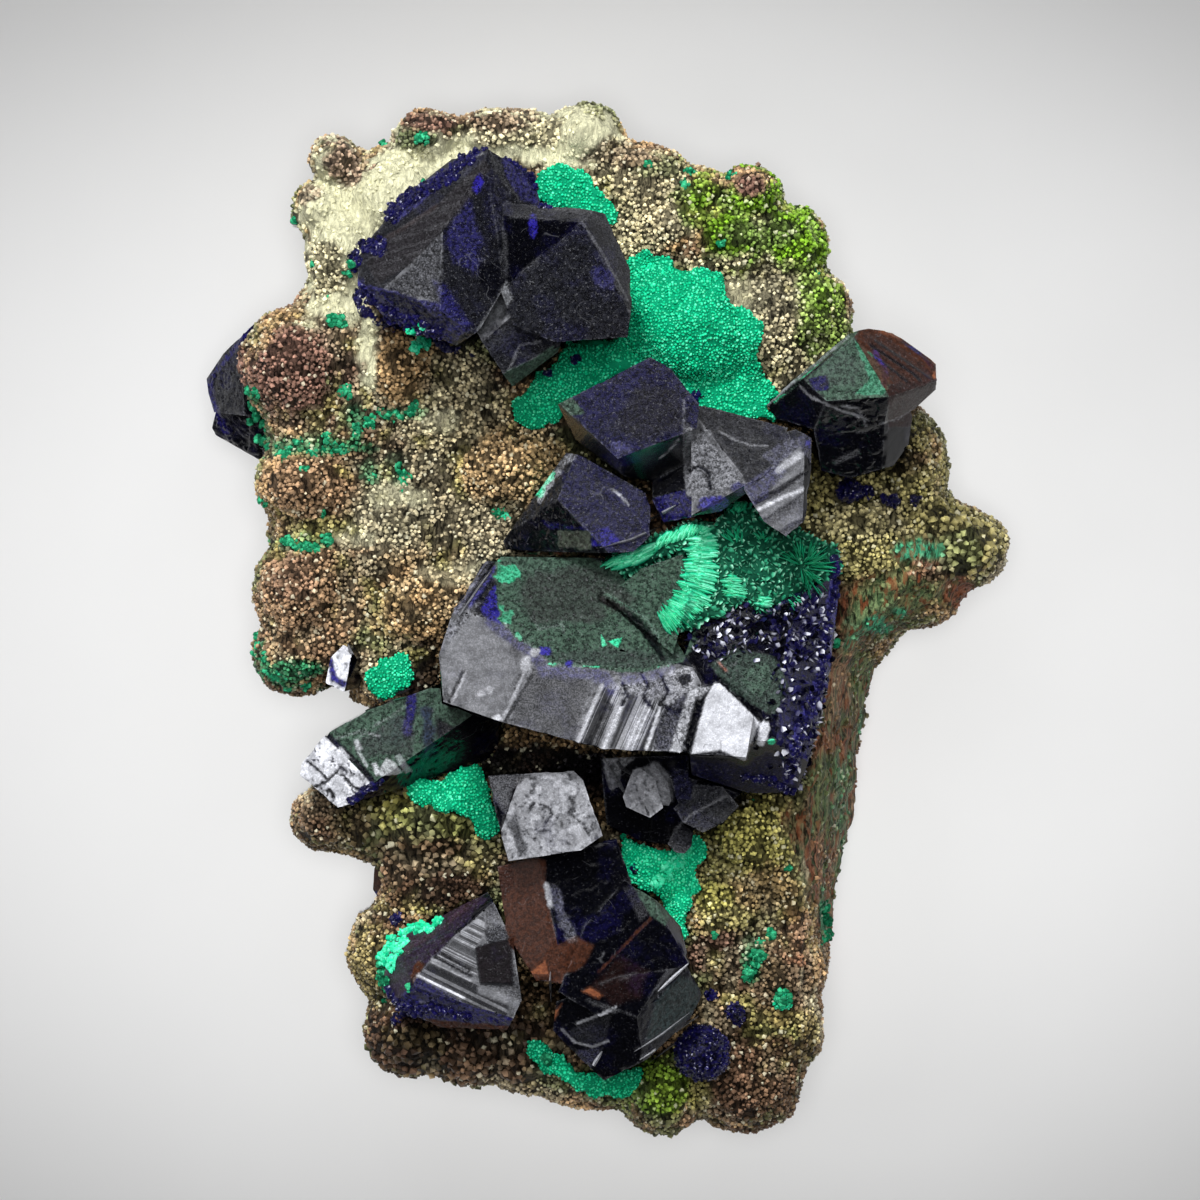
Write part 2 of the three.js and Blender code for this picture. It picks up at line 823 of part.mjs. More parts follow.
const edgeCrystal = [
  crystal({
    outline: [
      [-20.5, -21.9],
      [-18.3, -22.8],
      [-19, -24.1],
      [-19.9, -25.1],
      [-20.7, -23.8],
    ],
    roofs: [[[-20.3, -22, 16.5], [-18.4, -22.9, 17.6], [-20, -24.7, 15.5]]],
    root: 9,
  }),
];

// ---------------------------------------------------------------- malachite
const spray = [
  // bright fibres that fan out round the green facet
  crystal({
    outline: [
      [-0.6, 4.7],
      [3.3, 6.7],
      [7.2, 8.5],
      [9.6, 7.8],
      [10.1, 3.9],
      [9.3, 1.6],
      [7.3, -0.5],
      [5.3, -1.4],
    ],
    roofs: [
      [[0.4, 4.9, 29.6], [7.2, 7.4, 30.4], [8, 0, 32.6]],
      [[7.2, 5.2, 31.6], [9.1, 6.9, 30.2], [9.3, 1.7, 31.4]],
    ],
    root: 17,
  }),
  // the dark green tufts on its right
  crystal({
    outline: [
      [9.1, 7.8],
      [11.3, 10.6],
      [13.9, 9.7],
      [20, 6.4],
      [20.3, 4],
      [15, 0.7],
      [10, 0],
      [7.7, 0.7],
    ],
    roofs: [
      [[9.8, 5.2, 30.6], [11.5, 9.5, 29], [9.8, -0.9, 32]],
      [[12, 9.1, 29.2], [13.2, 0.9, 31.6], [19.8, 4.8, 26.6]],
    ],
    root: 17,
  }),
];

// The outline of each crust seen from above.
const CRUSTS = {
  malachite_crust_top: [
    [-5.7, 39.2],
    [-3.9, 39.8],
    [-2.1, 39.5],
    [-1.3, 38.3],
    [-0.1, 37.6],
    [0.4, 35.2],
    [-1.9, 35.5],
    [-5, 36.1],
    [-5.7, 37.5],
  ],
  malachite_crust_centre: [
    [3.6, 32.2],
    [5, 31.9],
    [6.6, 30.5],
    [8.1, 30.8],
    [10, 29.6],
    [10.9, 27.7],
    [12.6, 27],
    [13.1, 25.1],
    [12.6, 23.3],
    [13.9, 21.4],
    [14.9, 20.2],
    [15.9, 17.4],
    [11.6, 17.4],
    [7.2, 17.4],
    [-0.6, 19.2],
    [-4.1, 17.6],
    [-5.8, 16.8],
    [-7.8, 17.4],
    [-8.3, 19],
    [-6.9, 20.5],
    [-4.5, 22.5],
    [-3.2, 25.3],
    [1.1, 26.1],
    [1.8, 30.5],
  ],
  malachite_crust_left: [
    [-20.7, -4.6],
    [-19.3, -3.5],
    [-17.7, -3.7],
    [-17.4, -4.9],
    [-18.4, -6.1],
    [-19.8, -6.5],
  ],
  malachite_crust_lower_left: [
    [-17.4, -13.8],
    [-16, -13.8],
    [-14.9, -14.7],
    [-12.8, -13.4],
    [-11.2, -12.2],
    [-10, -14.8],
    [-9.9, -19],
    [-10.7, -18.8],
    [-12.1, -17.1],
    [-13.9, -16.8],
    [-15.1, -15.4],
    [-17, -15],
  ],
  malachite_crust_lower_right: [
    [1, -18.1],
    [3.3, -19.4],
    [5.9, -20.1],
    [8, -18.7],
    [7.9, -21.6],
    [6.9, -24],
    [6.6, -28.4],
    [5.8, -27],
    [4.6, -24.4],
    [1.3, -22.2],
  ],
  malachite_crust_bottom: [
    [-6.4, -37.3],
    [-5, -37.6],
    [-2.4, -39.2],
    [-0.2, -40.1],
    [2.9, -39.2],
    [2.5, -40.8],
    [1, -41.8],
    [-1.5, -41.8],
    [-3.4, -40.8],
    [-5.4, -39.5],
  ],
};

// A crust follows the rock inside its own outline, a little above the bare surface.
function crust(outline, shell) {
  const shape = new THREE.Shape(outline.map(([x, y]) => new THREE.Vector2(x, y)));
  const column = new THREE.ExtrudeGeometry(shape, { depth: CRUST_REACH, bevelEnabled: false });
  column.translate(0, 0, CRUST_FOOT);
  return shell.intersect(solidOf(column));
}

// ---------------------------------------------------------------- beads
// The centre and radius of each bead.
const BEADS = {
  azurite_ball: [[8.3, -37.7, 24.5], 2.4],
  azurite_bead_low: [[11.2, -34.2, 23.6], 0.8],
  azurite_bead_right_1: [[21.2, 11.3, 22.6], 1.1],
  azurite_bead_right_2: [[25, 10.4, 21.6], 0.6],
  azurite_bead_right_3: [[26.9, 10.6, 20.8], 0.6],
  malachite_bead: [[15.4, -33.3, 22.6], 0.8],
};

// ---------------------------------------------------------------- the specimen
const azurite = { color: 0x0b0a2e, roughness: 0.22, metalness: 0 };
const malachite = { color: 0x1fae7c, roughness: 0.7, metalness: 0 };
const drusyRock = { color: 0x6b5a44, roughness: 0.85, metalness: 0 };

const specimen = new THREE.Group();

function show(name, solid, finish) {
  const mesh = new THREE.Mesh(geometryOf(solid), new THREE.MeshStandardMaterial(finish));
  mesh.name = name;
  specimen.add(mesh);
}

const CRYSTALS = {
  azurite_main_plate: mainPlate,
  azurite_top_cluster: topCluster,
  azurite_upper_pair: upperPair,
  azurite_middle_lozenge: middleLozenge,
  azurite_right_block: rightBlock,
  azurite_left_edge: leftEdge,
  azurite_lower_left: lowerLeft,
  azurite_small_oval: smallOval,
  azurite_silver_block: silverBlock,
  azurite_small_group: smallGroup,
  azurite_bottom_cluster: bottomCluster,
  azurite_edge_crystal: edgeCrystal,
};

// Each piece keeps clear of the ones placed before it.
let taken = null;
function settle(solid, grown) {
  const settled = taken ? solid.subtract(taken) : solid;
  taken = taken ? taken.add(grown) : grown;
  return settled;
}

for (const [name, members] of Object.entries(CRYSTALS)) {
  show(name, settle(cluster(members), cluster(members, GAP)), azurite);
}
show("malachite_spray", settle(cluster(spray), cluster(spray, GAP)), malachite);
for (const [name, [centre, radius]] of Object.entries(BEADS)) {
  const half = [radius, radius, radius];
  const finish = name.startsWith("malachite") ? malachite : azurite;
  const bead = settle(lump(centre, half), lump(centre, half, GAP));
  show(name, bead, finish);
}
const shell = rock(CRUST_GROWTH).subtract(rock(GAP)).subtract(taken);
for (const [name, outline] of Object.entries(CRUSTS)) {
  show(name, crust(outline, shell), malachite);
}
show("matrix", rock().subtract(taken), drusyRock);

// The base's middle is the origin.
const box = new THREE.Box3().setFromObject(specimen);
const centre = box.getCenter(new THREE.Vector3());
specimen.position.set(-centre.x, -centre.y, -box.min.z);

export default specimen;
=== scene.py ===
# %% [markdown]
# An azurite and malachite specimen, lying on its back. The real thing grew in stages:
# first the rock with its skin of tiny crystals, then the dark azurite, and last the green
# malachite that eats into the azurite and lies in crusts between the crystals.
# The model follows that order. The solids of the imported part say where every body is,
# and each one gets the surface that it has on the real specimen.

import itertools
import math

import bmesh
import bpy
import numpy as np
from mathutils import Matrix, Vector, geometry
from mathutils.bvhtree import BVHTree


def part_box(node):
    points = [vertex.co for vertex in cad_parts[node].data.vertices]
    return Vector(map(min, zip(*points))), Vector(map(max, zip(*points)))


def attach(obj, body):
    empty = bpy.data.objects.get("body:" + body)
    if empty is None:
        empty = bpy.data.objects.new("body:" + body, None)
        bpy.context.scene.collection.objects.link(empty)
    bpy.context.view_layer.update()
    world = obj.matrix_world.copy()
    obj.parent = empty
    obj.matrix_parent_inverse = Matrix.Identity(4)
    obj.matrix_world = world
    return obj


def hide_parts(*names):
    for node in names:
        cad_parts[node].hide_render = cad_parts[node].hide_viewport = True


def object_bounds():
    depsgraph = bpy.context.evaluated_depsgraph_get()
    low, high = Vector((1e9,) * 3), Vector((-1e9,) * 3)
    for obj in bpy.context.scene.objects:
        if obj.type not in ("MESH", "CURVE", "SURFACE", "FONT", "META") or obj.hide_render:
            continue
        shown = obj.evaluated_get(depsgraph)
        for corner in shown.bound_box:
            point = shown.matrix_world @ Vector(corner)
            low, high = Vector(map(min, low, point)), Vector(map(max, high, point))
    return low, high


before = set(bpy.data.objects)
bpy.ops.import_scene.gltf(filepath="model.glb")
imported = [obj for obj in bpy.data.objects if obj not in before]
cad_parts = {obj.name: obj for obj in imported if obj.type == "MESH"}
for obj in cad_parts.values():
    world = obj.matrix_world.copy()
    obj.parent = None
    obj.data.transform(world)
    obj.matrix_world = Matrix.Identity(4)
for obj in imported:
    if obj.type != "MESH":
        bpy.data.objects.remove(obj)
CAD_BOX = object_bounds()
MM = 0.001
LOW, HIGH = np.array(CAD_BOX[0]) / MM, np.array(CAD_BOX[1]) / MM
print("CAD box in mm:", LOW.round(1), HIGH.round(1))

# %% [markdown]
# The specimen is looked at from straight above its show face, from almost a metre away
# and with a long lens, as a specimen usually is, so that its depth hardly distorts it.

# %% The camera
def place_object(name, data):
    """Puts a new object into the scene."""
    made = bpy.data.objects.new(name, data)
    bpy.context.scene.collection.objects.link(made)
    return made


CAMERA_HEIGHT = 0.827
AIM = (-0.00055, 0.00159)
LENS = 276.2
camera = place_object("camera", bpy.data.cameras.new("camera"))
camera.data.sensor_width = 36
camera.data.lens = LENS
middle = (CAD_BOX[0] + CAD_BOX[1]) / 2
camera.location = (middle.x + AIM[0], middle.y + AIM[1], CAMERA_HEIGHT)
camera.data.clip_end = 10
bpy.context.scene.camera = camera
bpy.context.scene.view_settings.view_transform = "Standard"
print("camera stands", camera.location.to_tuple(3))

# %% [markdown]
# A dark, glassy crystal is seen by what it mirrors. A wide, low soft box stands beyond the
# specimen's upper end and a small one on its left: the faces that lean towards one of
# them turn silver, and the others stay almost black. The lamps that give the rock its
# light are hidden from reflections, so they leave the dark faces dark.

# %% Lamps
def soft_box(name, heading, lean, distance, size, power, mirrored=False):
    """A rectangular lamp that looks at the specimen from `lean` degrees off the vertical."""
    lamp = bpy.data.lights.new(name, "AREA")
    lamp.shape = "RECTANGLE"
    lamp.size, lamp.size_y = size
    lamp.energy = power
    holder = place_object(name, lamp)
    heading, lean = math.radians(heading), math.radians(lean)
    out = math.sin(lean)
    towards = Vector((math.cos(heading) * out, math.sin(heading) * out, math.cos(lean)))
    holder.location = towards * distance + Vector((0, 0, HIGH[2] * MM))
    holder.rotation_euler = towards.to_track_quat("Z", "Y").to_euler()
    holder.visible_glossy = mirrored
    return holder


# heading and lean in degrees, distance and size in metres, power in watts
soft_box("silver_box", 92, 42, 0.6, (0.62, 0.21), 0.48, mirrored=True)
soft_box("side_box", 186, 41, 0.6, (0.16, 0.26), 0.26, mirrored=True)
SPECIMEN_LAMPS = [
    soft_box("crisp_lamp", 108, 44, 0.8, (0.13, 0.13), 7.8),
    soft_box("top_lamp", 95, 12, 0.9, (0.4, 0.4), 6.0),
    soft_box("left_panel", 180, 62, 0.7, (0.5, 0.3), 0.8),
    soft_box("right_panel", 0, 62, 0.7, (0.5, 0.3), 1.2),
    soft_box("near_panel", 270, 55, 0.7, (0.5, 0.3), 0.8),
    soft_box("far_panel", 90, 62, 0.7, (0.5, 0.3), 0.5),
]

world = bpy.data.worlds.new("room")
world.use_nodes = True
world.node_tree.nodes["Background"].inputs["Color"].default_value = (1, 1, 1, 1)
world.node_tree.nodes["Background"].inputs["Strength"].default_value = 0.012
bpy.context.scene.world = world

# %% [markdown]
# Materials are networks of small steps. These helpers add one step at a time and join it
# to the sockets before it, so that a material reads from top to bottom.

# %% Helpers for materials
def step(tree, kind, inputs=(), **settings):
    """Adds a node, sets it up, and joins or fills its inputs."""
    node = tree.nodes.new(kind)
    for name, value in settings.items():
        setattr(node, name, value)
    for key, value in dict(inputs).items():
        if isinstance(value, bpy.types.NodeSocket):
            tree.links.new(value, node.inputs[key])
        else:
            node.inputs[key].default_value = value
    return node


def result(tree, kind, inputs=(), output=0, **settings):
    """Adds a node as `step` does: one of its outputs."""
    return step(tree, kind, inputs, **settings).outputs[output]


def tree_of(*values):
    """The network that the sockets among some values belong to."""
    return next(v.id_data for v in values if isinstance(v, bpy.types.NodeSocket))


def maths(operation, *values, clamp=False):
    """One sum on numbers: its result."""
    tree, inputs = tree_of(*values), dict(enumerate(values))
    return result(tree, "ShaderNodeMath", inputs, operation=operation, use_clamp=clamp)


def times(first, second, **options):
    """One value multiplied by another."""
    return maths("MULTIPLY", first, second, **options)


def fitted(value, factor, shift, **options):
    """A value multiplied by a factor, with a shift added."""
    return maths("MULTIPLY_ADD", value, factor, shift, **options)


def less(first, second):
    """One value less another."""
    return maths("SUBTRACT", first, second)


def between(value, low, high):
    """0 below low, 1 above high, and a soft ramp in between."""
    inputs = {"Value": value, "From Min": low, "From Max": high}
    kind = "ShaderNodeMapRange"
    return result(tree_of(value), kind, inputs, "Result", interpolation_type="SMOOTHSTEP")


def blend(share, below, above):
    """One colour laid over another by a share from 0 to 1."""
    inputs = {"Factor": share, 6: below, 7: above}
    return result(tree_of(share), "ShaderNodeMix", inputs, 2, data_type="RGBA")


def noise(where, scale, **settings):
    """Smooth noise with about `scale` lumps to the metre."""
    inputs = {"Vector": where, "Scale": scale}
    inputs.update((key.capitalize(), value) for key, value in settings.items())
    return result(tree_of(where), "ShaderNodeTexNoise", inputs, "Fac")


def bumps(height, strength, distance):
    """A surface's tilt, from how high it stands from place to place."""
    inputs = {"Height": height, "Strength": strength, "Distance": distance}
    return result(tree_of(height), "ShaderNodeBump", inputs, "Normal")


def object_places(tree):
    """Places on the object itself, in metres."""
    return result(tree, "ShaderNodeTexCoord", output="Object")


def painted_on(tree, *names, output="Fac"):
    """Values, or colours, that were painted onto the mesh."""
    kind = "ShaderNodeAttribute"
    return [result(tree, kind, output=output, attribute_name=name) for name in names]


# %% Helpers for effects and whole materials
def new_group(name, inputs, outputs):
    """An empty effect: its inputs with their usual values, and its outputs' names."""
    group = bpy.data.node_groups.new(name, "ShaderNodeTree")
    for socket, usual in inputs.items():
        kind = "NodeSocketVector" if isinstance(usual, tuple) else "NodeSocketFloat"
        group.interface.new_socket(socket, in_out="INPUT", socket_type=kind).default_value = usual
    for socket in outputs:
        group.interface.new_socket(socket, in_out="OUTPUT", socket_type="NodeSocketFloat")
    return group, group.nodes.new("NodeGroupInput").outputs, group.nodes.new("NodeGroupOutput")


def place(tree, group, **inputs):
    """Puts an effect into a material with its own values: its outputs."""
    inputs = {key.replace("_", " "): value for key, value in inputs.items()}
    return step(tree, "ShaderNodeGroup", inputs, node_tree=group).outputs


def new_material(name):
    """An empty material: its tree and its surface shader."""
    material = bpy.data.materials.new(name)
    material.use_nodes = True
    return material, material.node_tree, material.node_tree.nodes["Principled BSDF"]


def set_surface(surface, **inputs):
    """Joins values to a surface shader's sockets, or sets the sockets to numbers."""
    for name, value in inputs.items():
        socket = surface.inputs[name.replace("_", " ")]
        if isinstance(value, bpy.types.NodeSocket):
            surface.id_data.links.new(value, socket)
        else:
            socket.default_value = value


def colour(red, green, blue):
    """A colour given as it looks on a screen, 0 to 255, turned into light."""
    def light(c):
        c /= 255
        return c / 12.92 if c <= 0.04045 else ((c + 0.055) / 1.055) ** 2.4

    return (light(red), light(green), light(blue), 1)


# %% Effect: speckle, the mottling of an etched surface
inputs = {"Size": 0.0005, "Sharpness": 0.5, "Cover": 0.5, "Shift": (0, 0, 0)}
SPECKLE, given, out = new_group("speckle", inputs, ("Mask", "Height"))
where = object_places(SPECKLE)
shifted = {0: where, 1: given["Shift"]}
moved = result(SPECKLE, "ShaderNodeVectorMath", shifted, operation="ADD")
density = maths("DIVIDE", 1.0, given["Size"])
cloudy = noise(moved, density, detail=4.0, roughness=0.62)
half = times(less(1.0, given["Sharpness"]), 0.25)
level = fitted(given["Cover"], -0.4, 0.7)
mask = between(cloudy, less(level, half), maths("ADD", level, half))
SPECKLE.links.new(mask, out.inputs["Mask"])
SPECKLE.links.new(cloudy, out.inputs["Height"])

# %% Effect: scratches, the fine wandering lines on a worn face
inputs = {"Size": 0.004, "Width": 0.012, "Cover": 0.4}
SCRATCHES, given, out = new_group("scratches", inputs, ("Mask",))
where = object_places(SCRATCHES)
density = maths("DIVIDE", 1.0, given["Size"])
bends = noise(where, density, detail=1.5)
off = maths("ABSOLUTE", less(bends, 0.5))
thread = less(1.0, between(off, 0.0, given["Width"]))
doubled = times(density, 1.9)
spots = noise(where, doubled, detail=1.0)
level = fitted(given["Cover"], -0.4, 0.7)
shown = between(spots, level, maths("ADD", level, 0.06))
SCRATCHES.links.new(times(thread, shown), out.inputs["Mask"])

# %% [markdown]
# The table is plain white paper under an even light, with a round pool of light from
# straight above that brightens its middle. A pale wall stands far behind it on all sides.
# The wall is only looked at: it is kept out of the reflections, which would turn the black
# crystals grey. The crisp lamps would make the shadow on the paper hard, so they light the
# specimen only.

# %% The table and its pool of light
table_material, tree, surface = new_material("table_top")
cloud = place(tree, SPECKLE, Size=0.05, Sharpness=0.0)["Mask"]
paper = blend(cloud, colour(233, 233, 233), colour(236, 236, 236))
set_surface(surface, Base_Color=paper, Roughness=0.8, Specular_IOR_Level=0.2)
table = bpy.data.meshes.new("table_top")
TABLE_HALF = 1.5
corners = [(x * TABLE_HALF, y * TABLE_HALF, 0) for x, y in ((-1, -1), (1, -1), (1, 1), (-1, 1))]
table.from_pydata(corners, [], [(0, 1, 2, 3)])
table.materials.append(table_material)
floor = place_object("table_top", table)

pool = place_object("pool_lamp", bpy.data.lights.new("pool_lamp", "SPOT"))
pool.location = (0, 0, 1.4)
pool.scale = (1.5, 1, 1)
pool.data.energy = 46
pool.data.spot_size = math.radians(6.2)
pool.data.spot_blend = 1
pool.data.shadow_soft_size = 0.008
pool.visible_glossy = False

sky = place_object("sky_lamp", bpy.data.lights.new("sky_lamp", "SUN"))
sky.data.energy = 1.15
sky.data.angle = math.radians(20)
sky.visible_glossy = False

# %% The wall
wall_material, tree, surface = new_material("pale_wall")
BLACK, WHITE = (0, 0, 0, 1), (1, 1, 1, 1)
set_surface(surface, Base_Color=BLACK, Emission_Color=WHITE, Emission_Strength=0.46)
turns = [math.radians(angle) for angle in range(0, 360, 10)]
ring = [(TABLE_HALF * 0.98 * math.cos(turn), TABLE_HALF * 0.98 * math.sin(turn)) for turn in turns]
corners = [(x, y, z) for z in (0, 2.5) for x, y in ring]
around = len(ring)
sides = [(i, i + around, (i + 1) % around + around, (i + 1) % around) for i in range(around)]
wall_mesh = bpy.data.meshes.new("pale_wall")
wall_mesh.from_pydata(corners, [], sides)
wall_mesh.materials.append(wall_material)
wall = place_object("pale_wall", wall_mesh)
wall.visible_diffuse = wall.visible_glossy = wall.visible_shadow = False

# %% Which lamp lights what
def light_only(lamp, name, wanted):
    """Lets a lamp light the table only ("INCLUDE") or everything else ("EXCLUDE")."""
    group = bpy.data.collections.new(name)
    group.objects.link(floor)
    lamp.light_linking.receiver_collection = group
    group.collection_objects[0].light_linking.link_state = wanted


light_only(pool, "pool_on_table", "INCLUDE")
light_only(sky, "sky_on_table", "INCLUDE")
for lamp in SPECIMEN_LAMPS:
    light_only(lamp, lamp.name + "_on_specimen", "EXCLUDE")

# %% [markdown]
# Nothing on a mineral is quite flat or even. The unevenness comes from one kind of noise:
# random values on a lattice, blended smoothly. It has a fixed seed, so that the specimen
# comes out the same each time.

# %% Noise and painting tools
def noise_at(points, size, seed=0):
    """Smooth random values from 0 to 1 with lumps of about `size` millimetres."""
    q = np.asarray(points) / size
    cell = np.floor(q).astype(np.int64)
    f = q - cell
    f = f * f * (3 - 2 * f)
    total = np.zeros(len(q))
    for corner in itertools.product((0, 1), repeat=3):
        c = cell + corner
        h = (c[:, 0] * 374761393 + c[:, 1] * 668265263 + c[:, 2] * 974634777 + seed * 69069) & 0xFFFFFFFF
        h = ((h ^ (h >> 13)) * 1274126177) & 0xFFFFFFFF
        h = ((h ^ (h >> 16)) * 2246822519) & 0xFFFFFFFF
        weight = np.prod(np.where(corner, f, 1 - f), axis=1)
        total += weight * ((h ^ (h >> 15)) & 0xFFFFFF) / 0xFFFFFF
    return total


def cloud_at(points, size, seed=0, octaves=3):
    """Noise on several scales at once, 0 to 1."""
    total, share, weight = 0, 0, 1
    for i in range(octaves):
        total = total + weight * noise_at(points, size / 2**i, seed + i)
        share += weight
        weight *= 0.55
    return total / share


def ramp(value, low, high):
    """0 below low, 1 above high, smooth in between."""
    t = np.clip((value - low) / (high - low), 0, 1)
    return t * t * (3 - 2 * t)


def on_whole(across, up):
    """A place on the specimen, as shares of its width and height, in millimetres."""
    return LOW[:2] + (HIGH - LOW)[:2] * (across, up)


def on_node(node, across, up):
    """A place on one body, as shares of its own width and height, in millimetres."""
    low, high = (np.array(c)[:2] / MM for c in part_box(node))
    return low + (high - low) * (across, up)


def blob(points, centre, radii, ragged=0.5, size=1.0, seed=0, turn=0):
    """How much of a patch is at each point: 1 inside, 0 outside, with a ragged edge."""
    angle = math.radians(turn)
    offset = points[:, :2] - centre
    along = offset @ (math.cos(angle), math.sin(angle)) / radii[0]
    aside = offset @ (-math.sin(angle), math.cos(angle)) / radii[1]
    reach = np.hypot(along, aside) + (cloud_at(points, size, seed) - 0.5) * 2 * ragged
    return 1 - ramp(reach, 0.85, 1.1)


# %% Helpers for meshes
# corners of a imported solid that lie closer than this, in metres, are one corner
WELD = 2e-6


def welded(node):
    """A CAD node's solid with its corners joined, for editing."""
    bm = bmesh.new()
    bm.from_mesh(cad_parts[node].data)
    bmesh.ops.remove_doubles(bm, verts=bm.verts, dist=WELD)
    return bm


def points_of(mesh):
    """The corner points of a mesh in millimetres."""
    points = np.empty(len(mesh.vertices) * 3, np.float32)
    mesh.vertices.foreach_get("co", points)
    return points.reshape(-1, 3).astype(float) / MM


def normals_of(mesh):
    """The direction in which a mesh faces at each of its points."""
    normals = np.empty(len(mesh.vertices) * 3, np.float32)
    mesh.vertex_normals.foreach_get("vector", normals)
    return normals.reshape(-1, 3).astype(float)


def move_points(mesh, points):
    """Puts the points of a mesh at new places, given in millimetres."""
    mesh.vertices.foreach_set("co", (points * MM).astype(np.float32).ravel())
    mesh.update()


def paint(mesh, name, values, domain="POINT"):
    """Stores one number, or one colour, at each point of a mesh."""
    values = np.asarray(values, np.float32)
    kind = "FLOAT" if values.ndim == 1 else "FLOAT_COLOR"
    layer = mesh.attributes.get(name) or mesh.attributes.new(name, kind, domain)
    if values.ndim == 1:
        layer.data.foreach_set("value", values)
    else:
        if values.shape[1] == 3:
            values = np.hstack([values, np.ones((len(values), 1), np.float32)])
        layer.data.foreach_set("color", values.ravel())


def smooth_shaded(mesh):
    """Makes light run smoothly over a mesh's faces."""
    mesh.polygons.foreach_set("use_smooth", np.ones(len(mesh.polygons), bool))


def mesh_of(name, points, faces):
    """A mesh from points in millimetres and the faces between them."""
    mesh = bpy.data.meshes.new(name)
    mesh.from_pydata(np.asarray(points, float) * MM, [], faces)
    return mesh


def new_piece(name, mesh, slot, replaced=()):
    """Shows a finished mesh as a piece of the specimen."""
    mesh.name = name
    piece = place_object(name, mesh)
    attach(piece, "root")
    if replaced:
        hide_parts(*replaced)
    print(name, "has", sum(len(p.vertices) - 2 for p in mesh.polygons), "triangles")
    return piece


# %% [markdown]
# A crystal is bounded by flat faces, but no face is blank: growth steps run across it,
# acid has etched it, and its edges are chipped. Each face of the solid is therefore
# filled with a fine, even net of points that can be lifted or lowered. Neighbouring faces
# share the points on their common edge, so the crystal stays closed.

# %% Faces of a crystal
# facets that tilt less than this from each other belong to one face
FLAT = math.cos(math.radians(2))
# millimetres between the points of a face that is hidden
COARSE = 1.6
# points closer than this, in millimetres, are one point
SAME_POINT = 2e-4
# a facet with less area than this, in square metres, has no direction of its own
SLIVER = 1e-11


